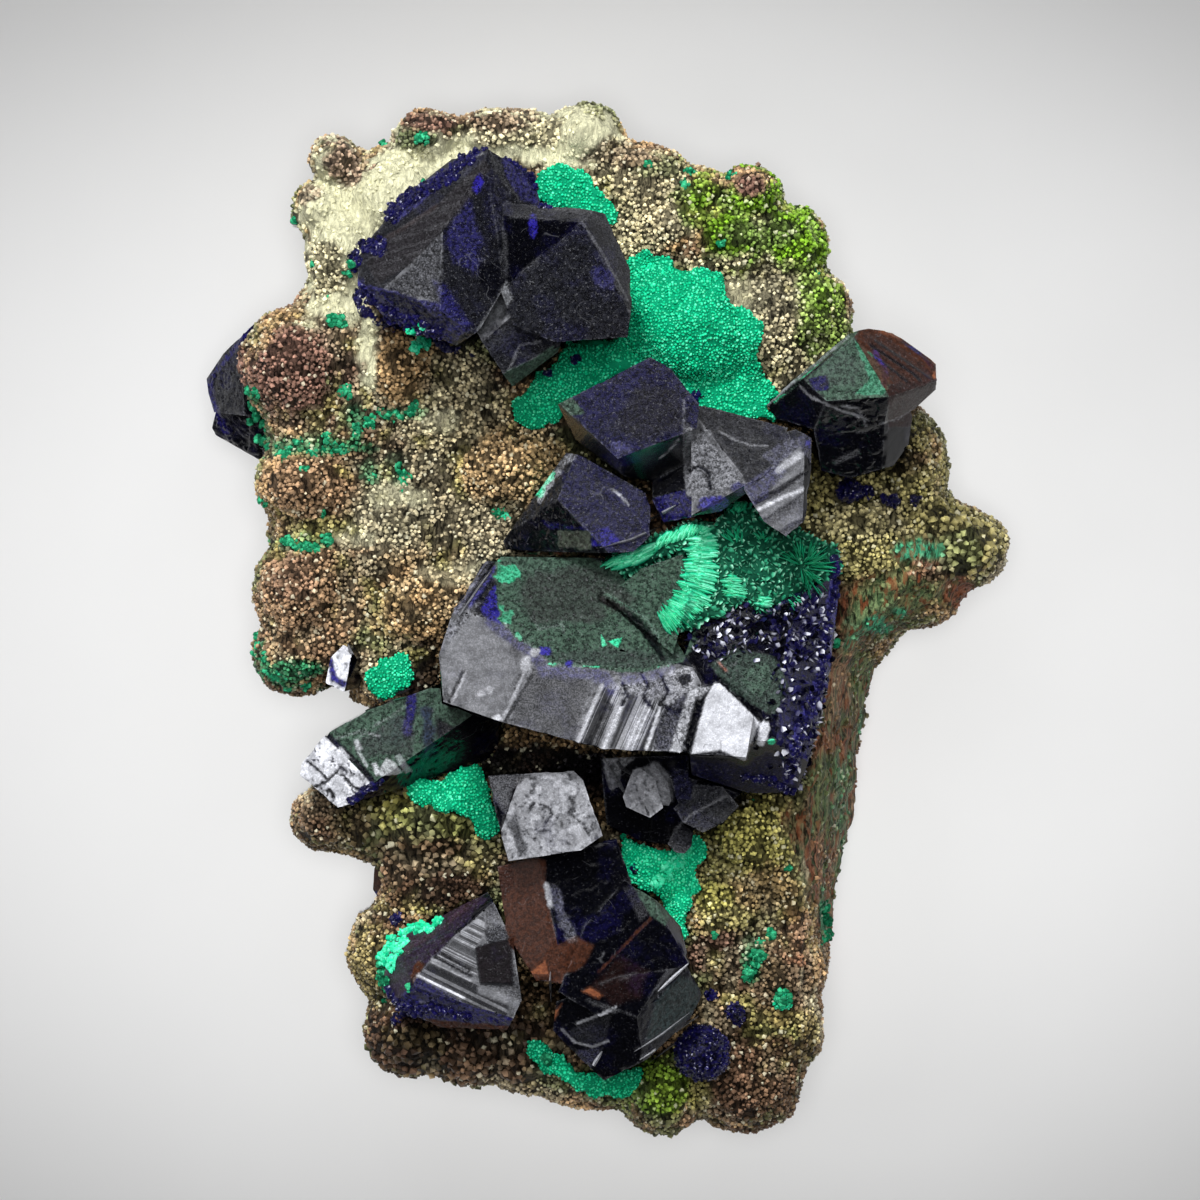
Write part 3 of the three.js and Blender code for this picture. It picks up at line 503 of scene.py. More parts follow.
class Crystal:
    """A CAD node's solid, split into its flat faces, each with a net of points."""

    def __init__(self, node, fine, hidden_below):
        self.node = node
        self.hidden_below = hidden_below
        bm = welded(node)
        bmesh.ops.dissolve_degenerate(bm, dist=WELD, edges=bm.edges)
        bmesh.ops.triangulate(bm, faces=bm.faces)
        bm.normal_update()
        bm.faces.ensure_lookup_table()
        self.split(bm)
        self.fill(bm, fine)
        bm.free()

    def split(self, bm):
        """Gathers the triangles that lie in one plane."""
        self.face_of = [-1] * len(bm.faces)
        self.normals = []
        for start in sorted(bm.faces, key=lambda f: -f.calc_area()):
            if self.face_of[start.index] >= 0:
                continue
            number = len(self.normals)
            self.normals.append(np.array(start.normal))
            self.face_of[start.index] = number
            waiting = [start]
            while waiting:
                for edge in waiting.pop().edges:
                    for other in edge.link_faces:
                        is_new = self.face_of[other.index] < 0
                        in_plane = other.normal.dot(start.normal) > FLAT
                        if is_new and (in_plane or other.calc_area() < SLIVER):
                            self.face_of[other.index] = number
                            waiting.append(other)
        self.tree = BVHTree.FromBMesh(bm)

    def face_at(self, across, up):
        """The number of the face seen from above at a share of the node's box."""
        x, y = on_node(self.node, across, up) * MM
        return self.face_of[self.tree.ray_cast(Vector((x, y, 1)), Vector((0, 0, -1)))[2]]

    def fill(self, bm, fine):
        """Fills all faces with nets and joins them along their common edges."""
        spacing = []
        members = [[] for _ in self.normals]
        for triangle in bm.faces:
            members[self.face_of[triangle.index]].append(triangle)
        for number, triangles in enumerate(members):
            top = max(v.co.z for t in triangles for v in t.verts) / MM
            seen = self.normals[number][2] > -0.05 and top > self.hidden_below
            spacing.append(fine if seen else COARSE)
        chains = {}
        for edge in bm.edges:
            sides = {self.face_of[t.index] for t in edge.link_faces}
            if len(sides) > 1:
                a, b = (np.array(v.co) / MM for v in edge.verts)
                count = max(1, round(float(np.linalg.norm(b - a)) / min(spacing[s] for s in sides)))
                chains[edge] = a + (b - a) * (np.arange(count + 1) / count)[:, None]
        points, triangles, owners, depths = [], [], [], []
        total = 0
        rng = np.random.default_rng(len(bm.verts))
        for number, members_here in enumerate(members):
            net = self.net(number, members_here, chains, spacing[number], rng)
            if net is None:
                continue
            points.append(net[0])
            depths.append(net[2])
            triangles.append(net[1] + total)
            owners.append(np.full(len(net[1]), number))
            total += len(net[0])
        points, triangles = np.vstack(points), np.vstack(triangles)
        owners, depths = np.concatenate(owners), np.concatenate(depths)
        cells = (points / SAME_POINT).round().astype(np.int64)
        _, first, merged = np.unique(cells, axis=0, return_index=True, return_inverse=True)
        merged = merged.ravel()
        self.points, self.depths = points[first], depths[first]
        triangles = merged[triangles]
        whole = np.all(triangles != np.roll(triangles, 1, axis=1), axis=1)
        triangles, owners = triangles[whole], owners[whole]
        _, once = np.unique(np.sort(triangles, axis=1), axis=0, return_index=True)
        self.triangles, self.owners = triangles[once], owners[once]
        facing = np.array(self.normals)[self.owners]
        self.directions = np.zeros_like(self.points)
        for corner in range(3):
            np.add.at(self.directions, self.triangles[:, corner], facing)
        self.directions /= np.linalg.norm(self.directions, axis=1)[:, None] + 1e-9

    def net(self, number, members, chains, spacing, rng):
        """Points and triangles that fill one face, and each point's distance to its rim."""
        normal = self.normals[number]
        right = np.cross(normal, (0, 1, 0.01))
        right /= np.linalg.norm(right)
        up = np.cross(normal, right)
        rims = [chains[e] for t in members for e in t.edges if e in chains]
        origin = rims[0][0]

        def in_plane(places):
            return np.stack([(places - origin) @ right, (places - origin) @ up], axis=-1)

        solid = in_plane(np.array([[np.array(v.co) / MM for v in t.verts] for t in members]))
        rim3 = np.vstack(rims)
        rim = in_plane(rim3)
        links, start = [], 0
        for chain in rims:
            links += [(start + i, start + i + 1) for i in range(len(chain) - 1)]
            start += len(chain)
        inner = staggered(rim.min(0), rim.max(0), spacing, rng)
        inner = inner[inside(inner, solid)]
        starts = np.vstack([in_plane(chain[:-1]) for chain in rims])
        ends = np.vstack([in_plane(chain[1:]) for chain in rims])
        away = rim_distance(inner, starts, ends)
        inner, away = inner[away > spacing * 0.45], away[away > spacing * 0.45]
        source = [Vector(p) for p in np.vstack([rim, inner])]
        made = geometry.delaunay_2d_cdt(source, links, [], 0, 1e-5)
        places, faces, origins = np.array(made[0]), np.array(made[2]), made[3]
        if not len(faces):
            return None
        middle = places[faces].mean(1)
        faces = faces[inside(middle, solid)]
        if not len(faces):
            return None
        points = origin + places[:, :1] * right + places[:, 1:] * up
        depth = np.zeros(len(places))
        for i, ids in enumerate(origins):
            if ids and ids[0] < len(rim3):
                points[i] = rim3[ids[0]]
            elif ids:
                depth[i] = away[ids[0] - len(rim3)]
        a, b, c = (points[faces[:, corner]] for corner in range(3))
        backwards = np.cross(b - a, c - a) @ normal < 0
        faces[backwards] = faces[backwards][:, ::-1]
        used, faces = np.unique(faces, return_inverse=True)
        return points[used], faces.reshape(-1, 3), depth[used]


# %% Places within a face
def staggered(low, high, spacing, rng):
    """Staggered rows of places that fill a rectangle, each a little off its spot."""
    rows = np.arange(low[1], high[1], spacing * 0.87)
    grid = [
        (x + (i % 2) * spacing / 2, y)
        for i, y in enumerate(rows)
        for x in np.arange(low[0], high[0], spacing)
    ]
    places = np.array(grid).reshape(-1, 2)
    return places + rng.uniform(-0.22, 0.22, places.shape) * spacing


def inside(places, triangles):
    """Which places lie in any of the triangles."""
    found = np.zeros(len(places), bool)
    for a, b, c in triangles:
        spans = [(b - a, places - a), (c - b, places - b), (a - c, places - c)]
        sides = [s[0] * p[:, 1] - s[1] * p[:, 0] for s, p in spans]
        found |= (np.min(sides, axis=0) > -1e-7) | (np.max(sides, axis=0) < 1e-7)
    return found


def rim_distance(places, starts, ends):
    """How far each place is from the nearest rim segment."""
    best = np.full(len(places), 1e9)
    for a, b in zip(starts, ends):
        span = b - a
        t = np.clip((places - a) @ span / max(span @ span, 1e-12), 0, 1)
        best = np.minimum(best, np.linalg.norm(places - a - t[:, None] * span, axis=1))
    return best


# %% [markdown]
# Reliefs: what a flat face is given. Each says how high every point stands above the
# face in millimetres, how much paler or darker it is there, which is painted light and
# shade that follows the relief, and, for a ribbed face, where the point lies across the
# ribs, so that the material can draw the finest ones.

# %% Reliefs of a crystal face
def across_face(points, normal, heading):
    """Position of each point across lines that run with `heading` degrees over the face."""
    along = np.array((math.cos(math.radians(heading)), math.sin(math.radians(heading)), 0))
    along = along - normal * (along @ normal)
    side = np.cross(normal, along / np.linalg.norm(along))
    return points @ side


def ribs(heading, width=0.8, depth=0.12, seed=1):
    """Parallel ribs of uneven width, as a crystal shows where its growth layers end."""
    def relief(points, normal):
        line = across_face(points, normal, heading) + 0.05 * noise_at(points, 3, seed)
        profile = np.stack([line, 0 * line, 0 * line], 1)
        coarse = np.floor(noise_at(profile, width, seed) * 4.999) / 4
        fine = noise_at(profile, width / 4, seed + 7)
        height = coarse + 0.35 * fine - 0.6
        return np.stack([depth * height, height, line])

    return relief


def etching(size=0.9, depth=0.05, seed=2):
    """Low plateaus, painted paler, and small pits; painted shade darkens the pits and the abrupt edges."""
    def relief(points, normal):
        level = cloud_at(points, size, seed, 3)
        plateau = ramp(level, 0.47, 0.51)
        outline = 1 - ramp(abs(level - 0.49), 0, 0.018)
        pits = ramp(cloud_at(points, size * 0.4, seed + 5, 2), 0.6, 0.7)
        height = plateau - 0.5 - 0.6 * pits
        return np.stack([depth * height, 0.5 * plateau - 0.7 * pits - 0.5 * outline, 0 * level])

    return relief


def steps_over(heading, width=1.5, depth=0.2, seed=3):
    """A flight of growth steps, each edge painted pale as a highlight."""
    def relief(points, normal):
        line = across_face(points, normal, heading) / width + 0.6 * cloud_at(points, 3, seed)
        height = ramp(line % 1, 0.0, 0.12) - (line % 1)
        return np.stack([depth * height, 1.2 * height - 0.4, 0 * line])

    return relief


def cracks(size=2.5, width=0.02, depth=0.12, seed=4):
    """Thin, dark, wandering cracks."""
    def relief(points, normal):
        crack = 1 - ramp(abs(cloud_at(points, size, seed, 3) - 0.5), 0, width)
        return np.stack([-depth * crack, -1.4 * crack, 0 * crack])

    return relief


# %% [markdown]
# Patches: parts of a crystal that differ from the face they lie on. Each function below
# makes a mask with ragged edges: 1 in the patch and 0 outside it. Places are written as
# thousandths of the body's width and height.

# %% Patches on a crystal
def table_of(text):
    """Numbers in a text such as "120 450, 300 500", as an array with a row for each pair."""
    return np.array([row.split() for row in text.split(",")], float)


def places_on(node, text):
    """Places on a body, in millimetres."""
    return np.array([on_node(node, *share) for share in table_of(text) / 1000])


def spot(place_on, wide, tall, ragged=0.4, turn=0):
    """A round or oval patch."""
    return lambda node, points: blob(points, places_on(node, place_on)[0], (wide, tall), ragged, 0.8, 0, turn)


def flat(corners, ragged=0.15, soft=0.08):
    """A patch with straight sides."""
    def mask(node, points):
        ends = places_on(node, corners)
        starts = np.roll(ends, 1, axis=0)
        places = points[:, :2]
        crossed = np.zeros(len(places), bool)
        for a, b in zip(starts, ends):
            if a[1] != b[1]:
                level = (places[:, 1] > a[1]) != (places[:, 1] > b[1])
                edge = a[0] + (places[:, 1] - a[1]) / (b[1] - a[1]) * (b[0] - a[0])
                crossed ^= level & (places[:, 0] < edge)
        away = rim_distance(places, starts, ends)
        signed = np.where(crossed, away, -away) + 2.4 * ragged * (cloud_at(points, 0.9, 0, 4) - 0.5)
        return ramp(signed, -soft, soft)

    return mask


def line(corners, width=0.12, ragged=0.05, broken=0.0):
    """A thin line through several places, broken where `broken` is above 0."""
    def mask(node, points):
        places = places_on(node, corners)
        away = rim_distance(points[:, :2], places[:-1], places[1:])
        away = away + 2 * ragged * (cloud_at(points, 0.5, 0) - 0.5)
        shown = 1 - broken * ramp(cloud_at(points, 0.9, 3), 0.45, 0.55)
        return (1 - ramp(away, width * 0.35, max(width * 0.75, 0.15))) * shown

    return mask


# %% [markdown]
# A crystal's faces and patches stand in a table, one to a line, with its parts divided by
# upright bars. A face has a place on it, the name of its look and its reliefs with their
# sizes. A patch has its places, its sizes in millimetres, and what it paints: values of
# the material from 0 to 1, or a lift in millimetres. A later line lies over an earlier one.

# %% Reading a crystal's table
MASKS = {"spot": spot, "flat": flat, "line": line}
RELIEFS = {"ribs": ribs, "etching": etching, "steps": steps_over, "cracks": cracks}


def lines_of(table):
    """The lines of a table, without its comments. An indented line goes on from the last."""
    rows = table.strip().replace("\n    ", " ").splitlines()
    return [row for row in rows if not row.startswith("#")]


def values_in(text):
    """Named values from a text such as "pale .5 mottle 1"."""
    words = text.split()
    return {name: float(value) for name, value in zip(words[::2], words[1::2])}


def read_table(table):
    """The faces and the patches in a crystal's table."""
    faces, patches = [], []
    for row in lines_of(table):
        kind, rest = row.split(maxsplit=1)
        places, how, what = rest.split("|")
        if kind == "face":
            reliefs = []
            for relief in filter(str.strip, what.split(",")):
                name, *sizes = relief.split()
                reliefs.append(RELIEFS[name](*map(float, sizes)))
            faces.append((table_of(places)[0] / 1000, how.strip(), reliefs))
        else:
            patches.append((MASKS[kind](places, *map(float, how.split())), values_in(what)))
    return faces, patches


# %% [markdown]
# Azurite is one mineral with many surfaces. What differs from place to place is painted
# on the mesh: how pale it is, from etched frost and, on the silver and white faces, from a
# painted reflection; how mottled, glossy or ribbed it is; and where it turned into green
# malachite, stayed bright blue, or took a film of rust.

# %% The azurite material
AZURITE_IOR = 1.78
azurite, tree, surface = new_material("azurite")
pale, mottle, gloss, green = painted_on(tree, "pale", "mottle", "gloss", "green")
blue, rust, ribbed, across = painted_on(tree, "blue", "rust", "ribbed", "across")
coarse = place(tree, SPECKLE, Size=0.00034, Sharpness=0.75, Cover=0.5)
fine = place(tree, SPECKLE, Size=0.00013, Sharpness=0.6, Cover=0.5, Shift=(0.013, 0.004, 0.002))
grit = place(tree, SPECKLE, Size=0.0002, Sharpness=0.9, Cover=0.17, Shift=(0.002, 0.017, 0.008))["Mask"]
grain = fitted(coarse["Mask"], 0.6, times(fine["Mask"], 0.4))
speckled = times(grain, mottle)
inputs = {"W": across, "Scale": 1.5, "Detail": 4.0, "Roughness": 0.72}
rib_noise = result(tree, "ShaderNodeTexNoise", inputs, "Fac", noise_dimensions="1D")
rib = between(rib_noise, 0.49, 0.55)
scratched = place(tree, SCRATCHES, Size=0.0035, Width=0.006, Cover=0.36)["Mask"]

body = blend(times(speckled, 0.75), colour(1, 1, 3), colour(17, 18, 27))
body = blend(blue, body, blend(grain, colour(3, 2, 20), colour(38, 32, 132)))
verdant = blend(grain, colour(10, 19, 15), colour(62, 84, 71))
vivid = blend(grain, colour(8, 112, 74), colour(60, 206, 156))
verdant = blend(between(green, 0.7, 1.0), verdant, vivid)
body = blend(between(green, 0.0, 0.6), body, verdant)
rusty = blend(grain, colour(32, 14, 7), colour(64, 34, 20))
orange = blend(grain, colour(88, 47, 29), colour(120, 71, 44))
rusty = blend(between(rust, 0.75, 1.0), rusty, orange)
body = blend(between(rust, 0.0, 0.7), body, rusty)
kept = fitted(less(mottle, speckled), -0.9, 1.0)
# painted shade of the fine ribs: the grooves between them lose their pale colour
unribbed = times(ribbed, less(1.0, rib))
kept = times(kept, fitted(unribbed, -0.92, 1.0))
frost_and_sheen = times(pale, kept)
textured = fitted(fine["Mask"], 1.0, 0.2)
textured = maths("MAXIMUM", textured, times(between(pale, 0.02, 0.2), 0.88))
cloudy = place(tree, SPECKLE, Size=0.0015, Sharpness=0.1, Shift=(0.01, 0.02, 0.03))["Mask"]
textured = times(textured, fitted(cloudy, 0.55, 0.62))
frost_and_sheen = times(frost_and_sheen, textured)
frost_and_sheen = fitted(times(grit, mottle), 0.09, frost_and_sheen)
frost_and_sheen = fitted(scratched, 0.045, frost_and_sheen, clamp=True)
# the pale colour: etched frost, and on the silver and white faces a painted reflection
body = blend(frost_and_sheen, body, colour(222, 224, 232))
dull = less(1.0, gloss)
rough = fitted(speckled, 0.08, fitted(dull, 0.45, 0.07))
filmed = times(maths("MAXIMUM", rust, green), 1.6, clamp=True)
rough = fitted(filmed, 0.4, rough)
pitted = times(less(1.0, fine["Mask"]), mottle)
rough = fitted(pitted, 0.3, rough, clamp=True)
height = fitted(speckled, 0.7, times(fine["Height"], 0.3))
height = less(height, times(unribbed, 0.8))
tilt = bumps(height, 0.4, 0.00005)
set_surface(surface, Base_Color=body, Roughness=rough, IOR=AZURITE_IOR, Normal=tilt)
set_surface(surface, Specular_IOR_Level=0.36)

# %% [markdown]
# The looks of the faces, named for what they are on the specimen. The edges of every
# crystal are a little worn and chipped, and their rims are painted paler, partly as wear and
# partly as a painted highlight. A thin blue veil lies over each in places.

# %% Looks of azurite faces
# a face leans less than this from upright: the share of its direction that points up
UPRIGHT = 0.35
# how blue the veil is, from 0 to 1
VEIL = 0.05
# how far the edges are worn down, in millimetres
WEAR = 0.05
# how much paler the edges are, as wear and as a painted highlight, from 0 to 1
EDGE_WEAR_AND_HIGHLIGHT = 0.07
# how far a face strays from flat, in millimetres
UNEVEN = 0.04
# edges that bend more than this stay crisp
SHARP = math.radians(24)
BARE = values_in("pale 0 mottle .3 gloss .85 green 0 blue 0 rust 0 ribbed 0 across 0")
STRIATED = values_in("ribbed .8 pale .03")
# the pale looks, from tablet to white, are partly etched frost and partly a painted reflection
LOOKS_TABLE = """
dark
charcoal pale .008 mottle .8
grey pale .025 mottle .6 gloss .75
tablet pale .12 mottle .45 gloss .7
silver pale .13 mottle .4 gloss .55
frosted pale .27 mottle .3 gloss .55
white pale .7 mottle .25 gloss .45
violet pale .008 blue .11 mottle .9 gloss .9
mottled pale .01 mottle 1 gloss .85
green pale 0 green .5 mottle .7 gloss .8
brown pale 0 rust .6 mottle .4 gloss .9
blue blue .3 mottle .8 gloss .85
"""
LOOKS = {
    look: values_in(values)
    for look, _, values in (row.partition(" ") for row in lines_of(LOOKS_TABLE))
}


# %% Finishing a crystal
def striate_sides(crystal, corner_point, corner_owner, painted):
    """Sides that stand upright are striated from top to bottom."""
    for number, normal in enumerate(crystal.normals):
        if abs(normal[2]) < UPRIGHT:
            corners = corner_owner == number
            along = np.array((-normal[1], normal[0], 0)) / math.hypot(normal[0], normal[1])
            painted["across"][corners] = crystal.points[corner_point[corners]] @ along
            for value, level in STRIATED.items():
                painted[value][corners] = level


def dress_faces(crystal, faces, corner_point, corner_owner, painted, lift):
    """Paints each face with its look, and gives it its reliefs."""
    for place_on, look, reliefs in faces:
        number = crystal.face_at(*place_on)
        corners = corner_owner == number
        for value, level in LOOKS[look].items():
            painted[value][corners] = level
        if reliefs:
            here = np.unique(crystal.triangles[crystal.owners == number])
            given = np.zeros((3, len(crystal.points)))
            normal = crystal.normals[number]
            given[:, here] = sum(relief(crystal.points[here], normal) for relief in reliefs)
            lift += given[0] * ramp(crystal.depths, 0, 0.3)
            # painted light and shade from the reliefs: raised parts paler, low parts darker
            painted["pale"][corners] *= np.clip(1 + 0.9 * given[1][corner_point[corners]], 0, 2)
            painted["across"][corners] = given[2][corner_point[corners]]


def finished_crystal(node, fine, seed, table, hidden_below=19.0):
    """Fills a crystal's faces, lifts the net, paints it, and shows it for its CAD node."""
    crystal = Crystal(node, fine, hidden_below)
    faces, patches = read_table(table)
    points, directions = crystal.points, crystal.directions
    corner_point = crystal.triangles.ravel()
    corner_owner = np.repeat(crystal.owners, 3)
    painted = {value: np.full(len(corner_point), bare) for value, bare in BARE.items()}
    striate_sides(crystal, corner_point, corner_owner, painted)
    lift = UNEVEN * (cloud_at(points, 1.1, 5) - 0.5) * ramp(crystal.depths, 0, 0.45)
    dress_faces(crystal, faces, corner_point, corner_owner, painted, lift)
    veiled = VEIL * ramp(cloud_at(points, 2.4, seed + 61), 0.5, 0.7)
    painted["blue"] = np.maximum(painted["blue"], veiled[corner_point])
    # the rims are painted paler: partly wear, partly a painted highlight along the edges
    worn_and_highlit_edges = (1 - ramp(crystal.depths, 0, 0.17)) * ramp(cloud_at(points, 1.0, seed + 62), 0.42, 0.6)
    painted["pale"] += EDGE_WEAR_AND_HIGHLIGHT * worn_and_highlit_edges[corner_point]
    for mask, values in patches:
        covered = mask(node, points)
        for value, level in values.items():
            if value == "lift":
                lift += level * covered
            else:
                painted[value] += (level - painted[value]) * covered[corner_point]
    chips = ramp(cloud_at(points, 1.3, 11), 0.5, 0.75)
    lift -= (1 - ramp(crystal.depths, 0, 0.45)) * WEAR * (0.35 + 2.4 * chips)
    mesh = mesh_of(node, points + directions * lift[:, None], crystal.triangles)
    mesh.validate()
    smooth_shaded(mesh)
    for value, levels in painted.items():
        paint(mesh, value, levels, "CORNER")
    mesh.materials.append(azurite)
    mesh.set_sharp_from_angle(angle=SHARP)
    return new_piece(node + "_faces", mesh, "azurite", (node,))


# %% [markdown]
# The main plate is one thick tabular crystal. Its lower face is silvery, with ribs that
# end in a bright facet beside a deep groove. Its upper face turned into dull green
# malachite, with a blue-violet seam where the change stopped.

# %% The main plate
# the groove under the raised green facet: a trench, painted dark as the facet's shadow
finished_crystal("azurite_main_plate", 0.175, 0, """
face 202 436 | silver | etching 1.1 .04, ribs 68 .55 .015
face 300 808 | charcoal | etching .9 .05
face 574 850 | green | etching .6 .14
face 721 395 | mottled | etching .8 .08
face 760 642 | mottled |
face 936 600 | blue |
# the dull green half, its olive middle and its brighter rim
flat 137 990, 301 1011, 415 966, 536 932, 628 808, 641 642, 603 547, 499 506, 400 522, 338 526,
    271 555, 239 601, 181 667, 149 787 | .25 | green .5 pale 0 mottle .8 blue 0 gloss .75
flat 214 924, 400 949, 499 808, 400 717, 239 705, 196 808 | .5 .4 | green .26 rust .12 pale .018
flat 263 580, 400 609, 561 601, 623 572, 499 518, 350 535 | .2 .2 | green .3 pale .018
flat 400 808, 489 692, 569 580, 499 601, 425 705 | .3 .3 | green .55 pale 0
spot 171 916 | 1.13 .96 .7 | green .85
spot 167 738 | .78 .78 .7 | green .8
line 149 974, 149 850, 159 734, 201 651 | .52 .15 .6 | green .82
line 271 543, 400 531, 499 518, 569 535 | .26 .06 .7 | green .9
# the blue-violet seam, and blue chips on it
line 127 717, 164 671, 219 609, 263 526 | .87 .15 | blue .27 pale .108
line 263 518, 375 510, 415 477, 430 435 | 1.04 .2 | blue .27 pale .12
line 462 477, 512 489, 574 526 | .78 .2 .4 | blue .3 pale .15
spot 261 597 | .7 .43 .5 | blue 1 green 0 pale 0
spot 323 543 | .43 .35 .5 | blue 1 green 0 pale 0
# little chips in the green
flat 400 680, 420 618, 402 609 | .02 | green 1 pale .12 lift .12
flat 415 638, 459 655, 445 605 | .03 | green .95 lift .1
line 234 738, 248 688, 306 709, 311 671 | .17 | pale .084
# the dark groove under the raised green facet
line 407 816, 455 771, 499 709, 536 630, 554 580 | .61 .25 | pale 0 green .1 mottle .4 lift -.3
line 415 833, 469 783, 519 725, 544 659 | .26 .06 | green .75 pale .06
# the silver face: rough pale left end, smooth middle
flat 78 775, 152 643, 202 519, 140 312, 23 394, 3 560, 40 725 | .3 .3 | pale .19 mottle .4
flat 227 511, 375 478, 358 374, 336 209, 182 304 | .15 .3 | pale .095 mottle .3
line 26 387, 61 511 | .26 | pale .03
line 33 383, 68 511 | .17 | pale .432
line 165 304, 231 498 | .26 | pale .036
line 157 312, 219 527 | .17 | pale .36
spot 217 540 | .43 .61 .9 | pale .45 blue 0
spot 241 593 | .43 .35 .9 | pale .4 blue 0
spot 145 321 | .43 .26 .3 | pale .72
spot 103 420 | .35 .26 .8 | pale .4
spot 127 436 | .26 .35 .8 | pale .36
spot 65 758 | .52 .35 .6 | pale .504
flat 3 643, 58 792, 102 796, 33 643 | .3 | pale .216 mottle 1
# the ribbed stretch: fine pale and dark bands
flat 425 457, 598 511, 648 436, 588 345, 454 345, 410 395 | .3 .2 | pale .34 mottle 1
flat 336 205, 400 453, 568 378, 536 180 | .05 | pale .3 ribbed 1 mottle .2
line 343 213, 405 453 | .35 .03 | pale .5 ribbed .2 lift .06
flat 360 197, 417 395, 435 378, 392 188 | .05 | pale .1 lift -.05
line 410 201, 454 395 | .78 .05 | pale .7 ribbed .5 mottle .5 lift .08
line 472 197, 511 354 | .96 .05 | pale .7 ribbed .5 mottle .5 lift .08
line 514 193, 548 362 | .26 .02 | pale .6 ribbed 0
flat 529 188, 553 345, 623 436, 613 354, 578 188 | .2 | pale .09 mottle 1 ribbed 0 lift -.1
spot 608 494 | 1.13 .87 .5 | pale .5 mottle 1
line 499 511, 519 461, 509 403, 529 362 | .26 .15 .3 | pale 0 lift -.12
line 553 494, 568 428, 548 378, 588 345, 623 370 | .26 .15 .2 | pale 0 lift -.12
line 454 469, 469 420, 454 378 | .26 .12 .3 | pale 0 lift -.1
spot 608 478 | .61 .52 .5 | pale .012
# the bright facet, its pale band on the left and the groove between
flat 568 172, 598 172, 653 407, 677 453, 623 445 | .06 | pale .518 blue 0 lift .05
flat 623 172, 662 403, 682 465, 697 469, 796 304, 771 205, 761 139, 697 188 | .03
    | pale .62 mottle .15 blue 0 gloss .4 ribbed 0 lift .1
flat 601 164, 620 164, 655 399, 638 407 | .02 | pale 0 mottle .2 lift -.5
line 695 482, 752 395, 804 304, 786 197 | .35 .03 | pale 0 blue 0 lift -.2
flat 789 205, 796 296, 816 321, 821 271, 806 205 | .04 | pale .68 blue 0
spot 826 221 | .43 .35 .4 | green 1
flat 626 155, 764 122, 814 172, 901 139, 891 -29, 626 -29 | .3 .2 | blue .1 mottle 1 gloss .2
# the dark smooth corner above it
flat 668 543, 735 609, 834 580, 877 435, 827 328, 760 394, 703 477 | .2 | pale .018 green .3 blue 0 mottle .9
spot 797 477 | 1.39 1.22 .6 | green .5
line 695 551, 713 514 | .26 .02 | rust 1 pale .15
# splinters along the upper left edge
line 41 758, 118 962 | .35 .08 .5 | pale .216 blue .24 lift .2
line 76 783, 141 941 | .43 .08 .4 | pale .072 blue .7 lift .25
flat 101 767, 141 870, 149 787, 163 704, 121 733 | .15 | blue .75 pale 0
flat 899 975, 986 975, 994 642, 961 392, 899 142, 874 392, 914 642 | .3 | blue .18 mottle 1
line 994 1025, 989 850, 964 642, 954 475, 919 359, 889 217, 874 67 | .96 .3 | blue 1 pale .05 mottle 1
""")

# %% [markdown]
# The top cluster is two stout crystals side by side. A long, smooth, ribbed face slopes
# down its upper left side, over a pale etched triangle; the big faces are black and mottled.

# %% The top cluster
finished_crystal("azurite_top_cluster", 0.185, 1, """
face 231 655 | grey | ribs 3 1.5 .04
face 231 424 | tablet | etching .5 .05
face 395 485 | charcoal | ribs -65 .9 .08
face 558 823 | mottled | etching .6 .06
face 229 280 | mottled | etching .6 .16
face 739 443 | mottled | etching .5 .03
face 667 734 | grey | etching .5 .04
face 950 487 | grey | ribs -58 1 .03
face 502 322 | tablet | etching .5 .03
face 593 195 | grey | ribs 32 1 .05
face 629 70 | green |
# tan and blue-grey streaks on the long face
flat 28 520, 100 629, 289 760, 463 948, 492 915, 413 781, 304 634, 188 503, 79 428 | .1
    | pale .05 ribbed .55 blue 0 rust .1
line 79 608, 177 671, 289 755 | .35 .06 | rust .2 pale .06
line 304 885, 376 940, 449 978 | .43 .1 .5 | pale .396
flat 109 409, 188 485, 304 636, 315 485, 304 351 | .1 | pale .096 mottle 1 blue 0
# deep blue on the ribbed middle face
flat 323 644, 413 778, 457 611, 442 464, 359 518 | .3 .3 | blue .25 pale .012
flat 275 443, 326 422, 413 254, 359 233 | .2 .2 | blue .3
flat 449 518, 529 518, 536 422, 486 359, 442 443 | .2 .2 | pale 0 blue 0 mottle .5
spot 442 846 | .43 .87 .2 -15 | blue 1 pale 0 mottle 0
spot 642 669 | .35 1.13 .4 | blue .9
spot 892 451 | 1.22 .7 .6 -40 | blue .24 pale .03
flat 478 980, 522 946, 594 778, 540 841, 493 913 | .06 | pale .042 mottle .3 blue 0
line 515 716, 540 611, 544 464 | .35 .1 .4 | pale .06
line 819 686, 903 535, 986 359 | .17 .03 | pale .132
line 671 741, 739 749, 848 724, 899 678 | .43 .1 .5 | pale .084
# the wedge below: pale ridge, dark face, green side
flat 434 236, 506 354, 543 446, 568 362, 510 287, 456 203 | .05 | pale .168 green .1 mottle .7
line 670 190, 594 173, 550 64 | .14 | pale .13
flat 538 62, 629 104, 720 176, 710 146, 593 7 | .1 | green .45 pale .012
# crusty blue skirts
flat -18 440, 98 406, 302 343, 411 238, 302 145, 157 259, 11 343 | .25 | blue .3 pale .018 mottle 1
line -8 429, 54 323, 156 264, 272 176 | 1.04 .3 | blue .75 pale .036
flat 99 396, 212 371, 303 278, 248 278, 139 341 | .15 | blue .1 pale 0
flat 121 783, 448 1001, 456 984, 267 804, 139 678 | .2 | blue .36 pale .03 mottle 1
flat 521 974, 630 903, 684 751, 593 785, 539 890 | .2 | blue .33 pale .024 mottle 1
""")
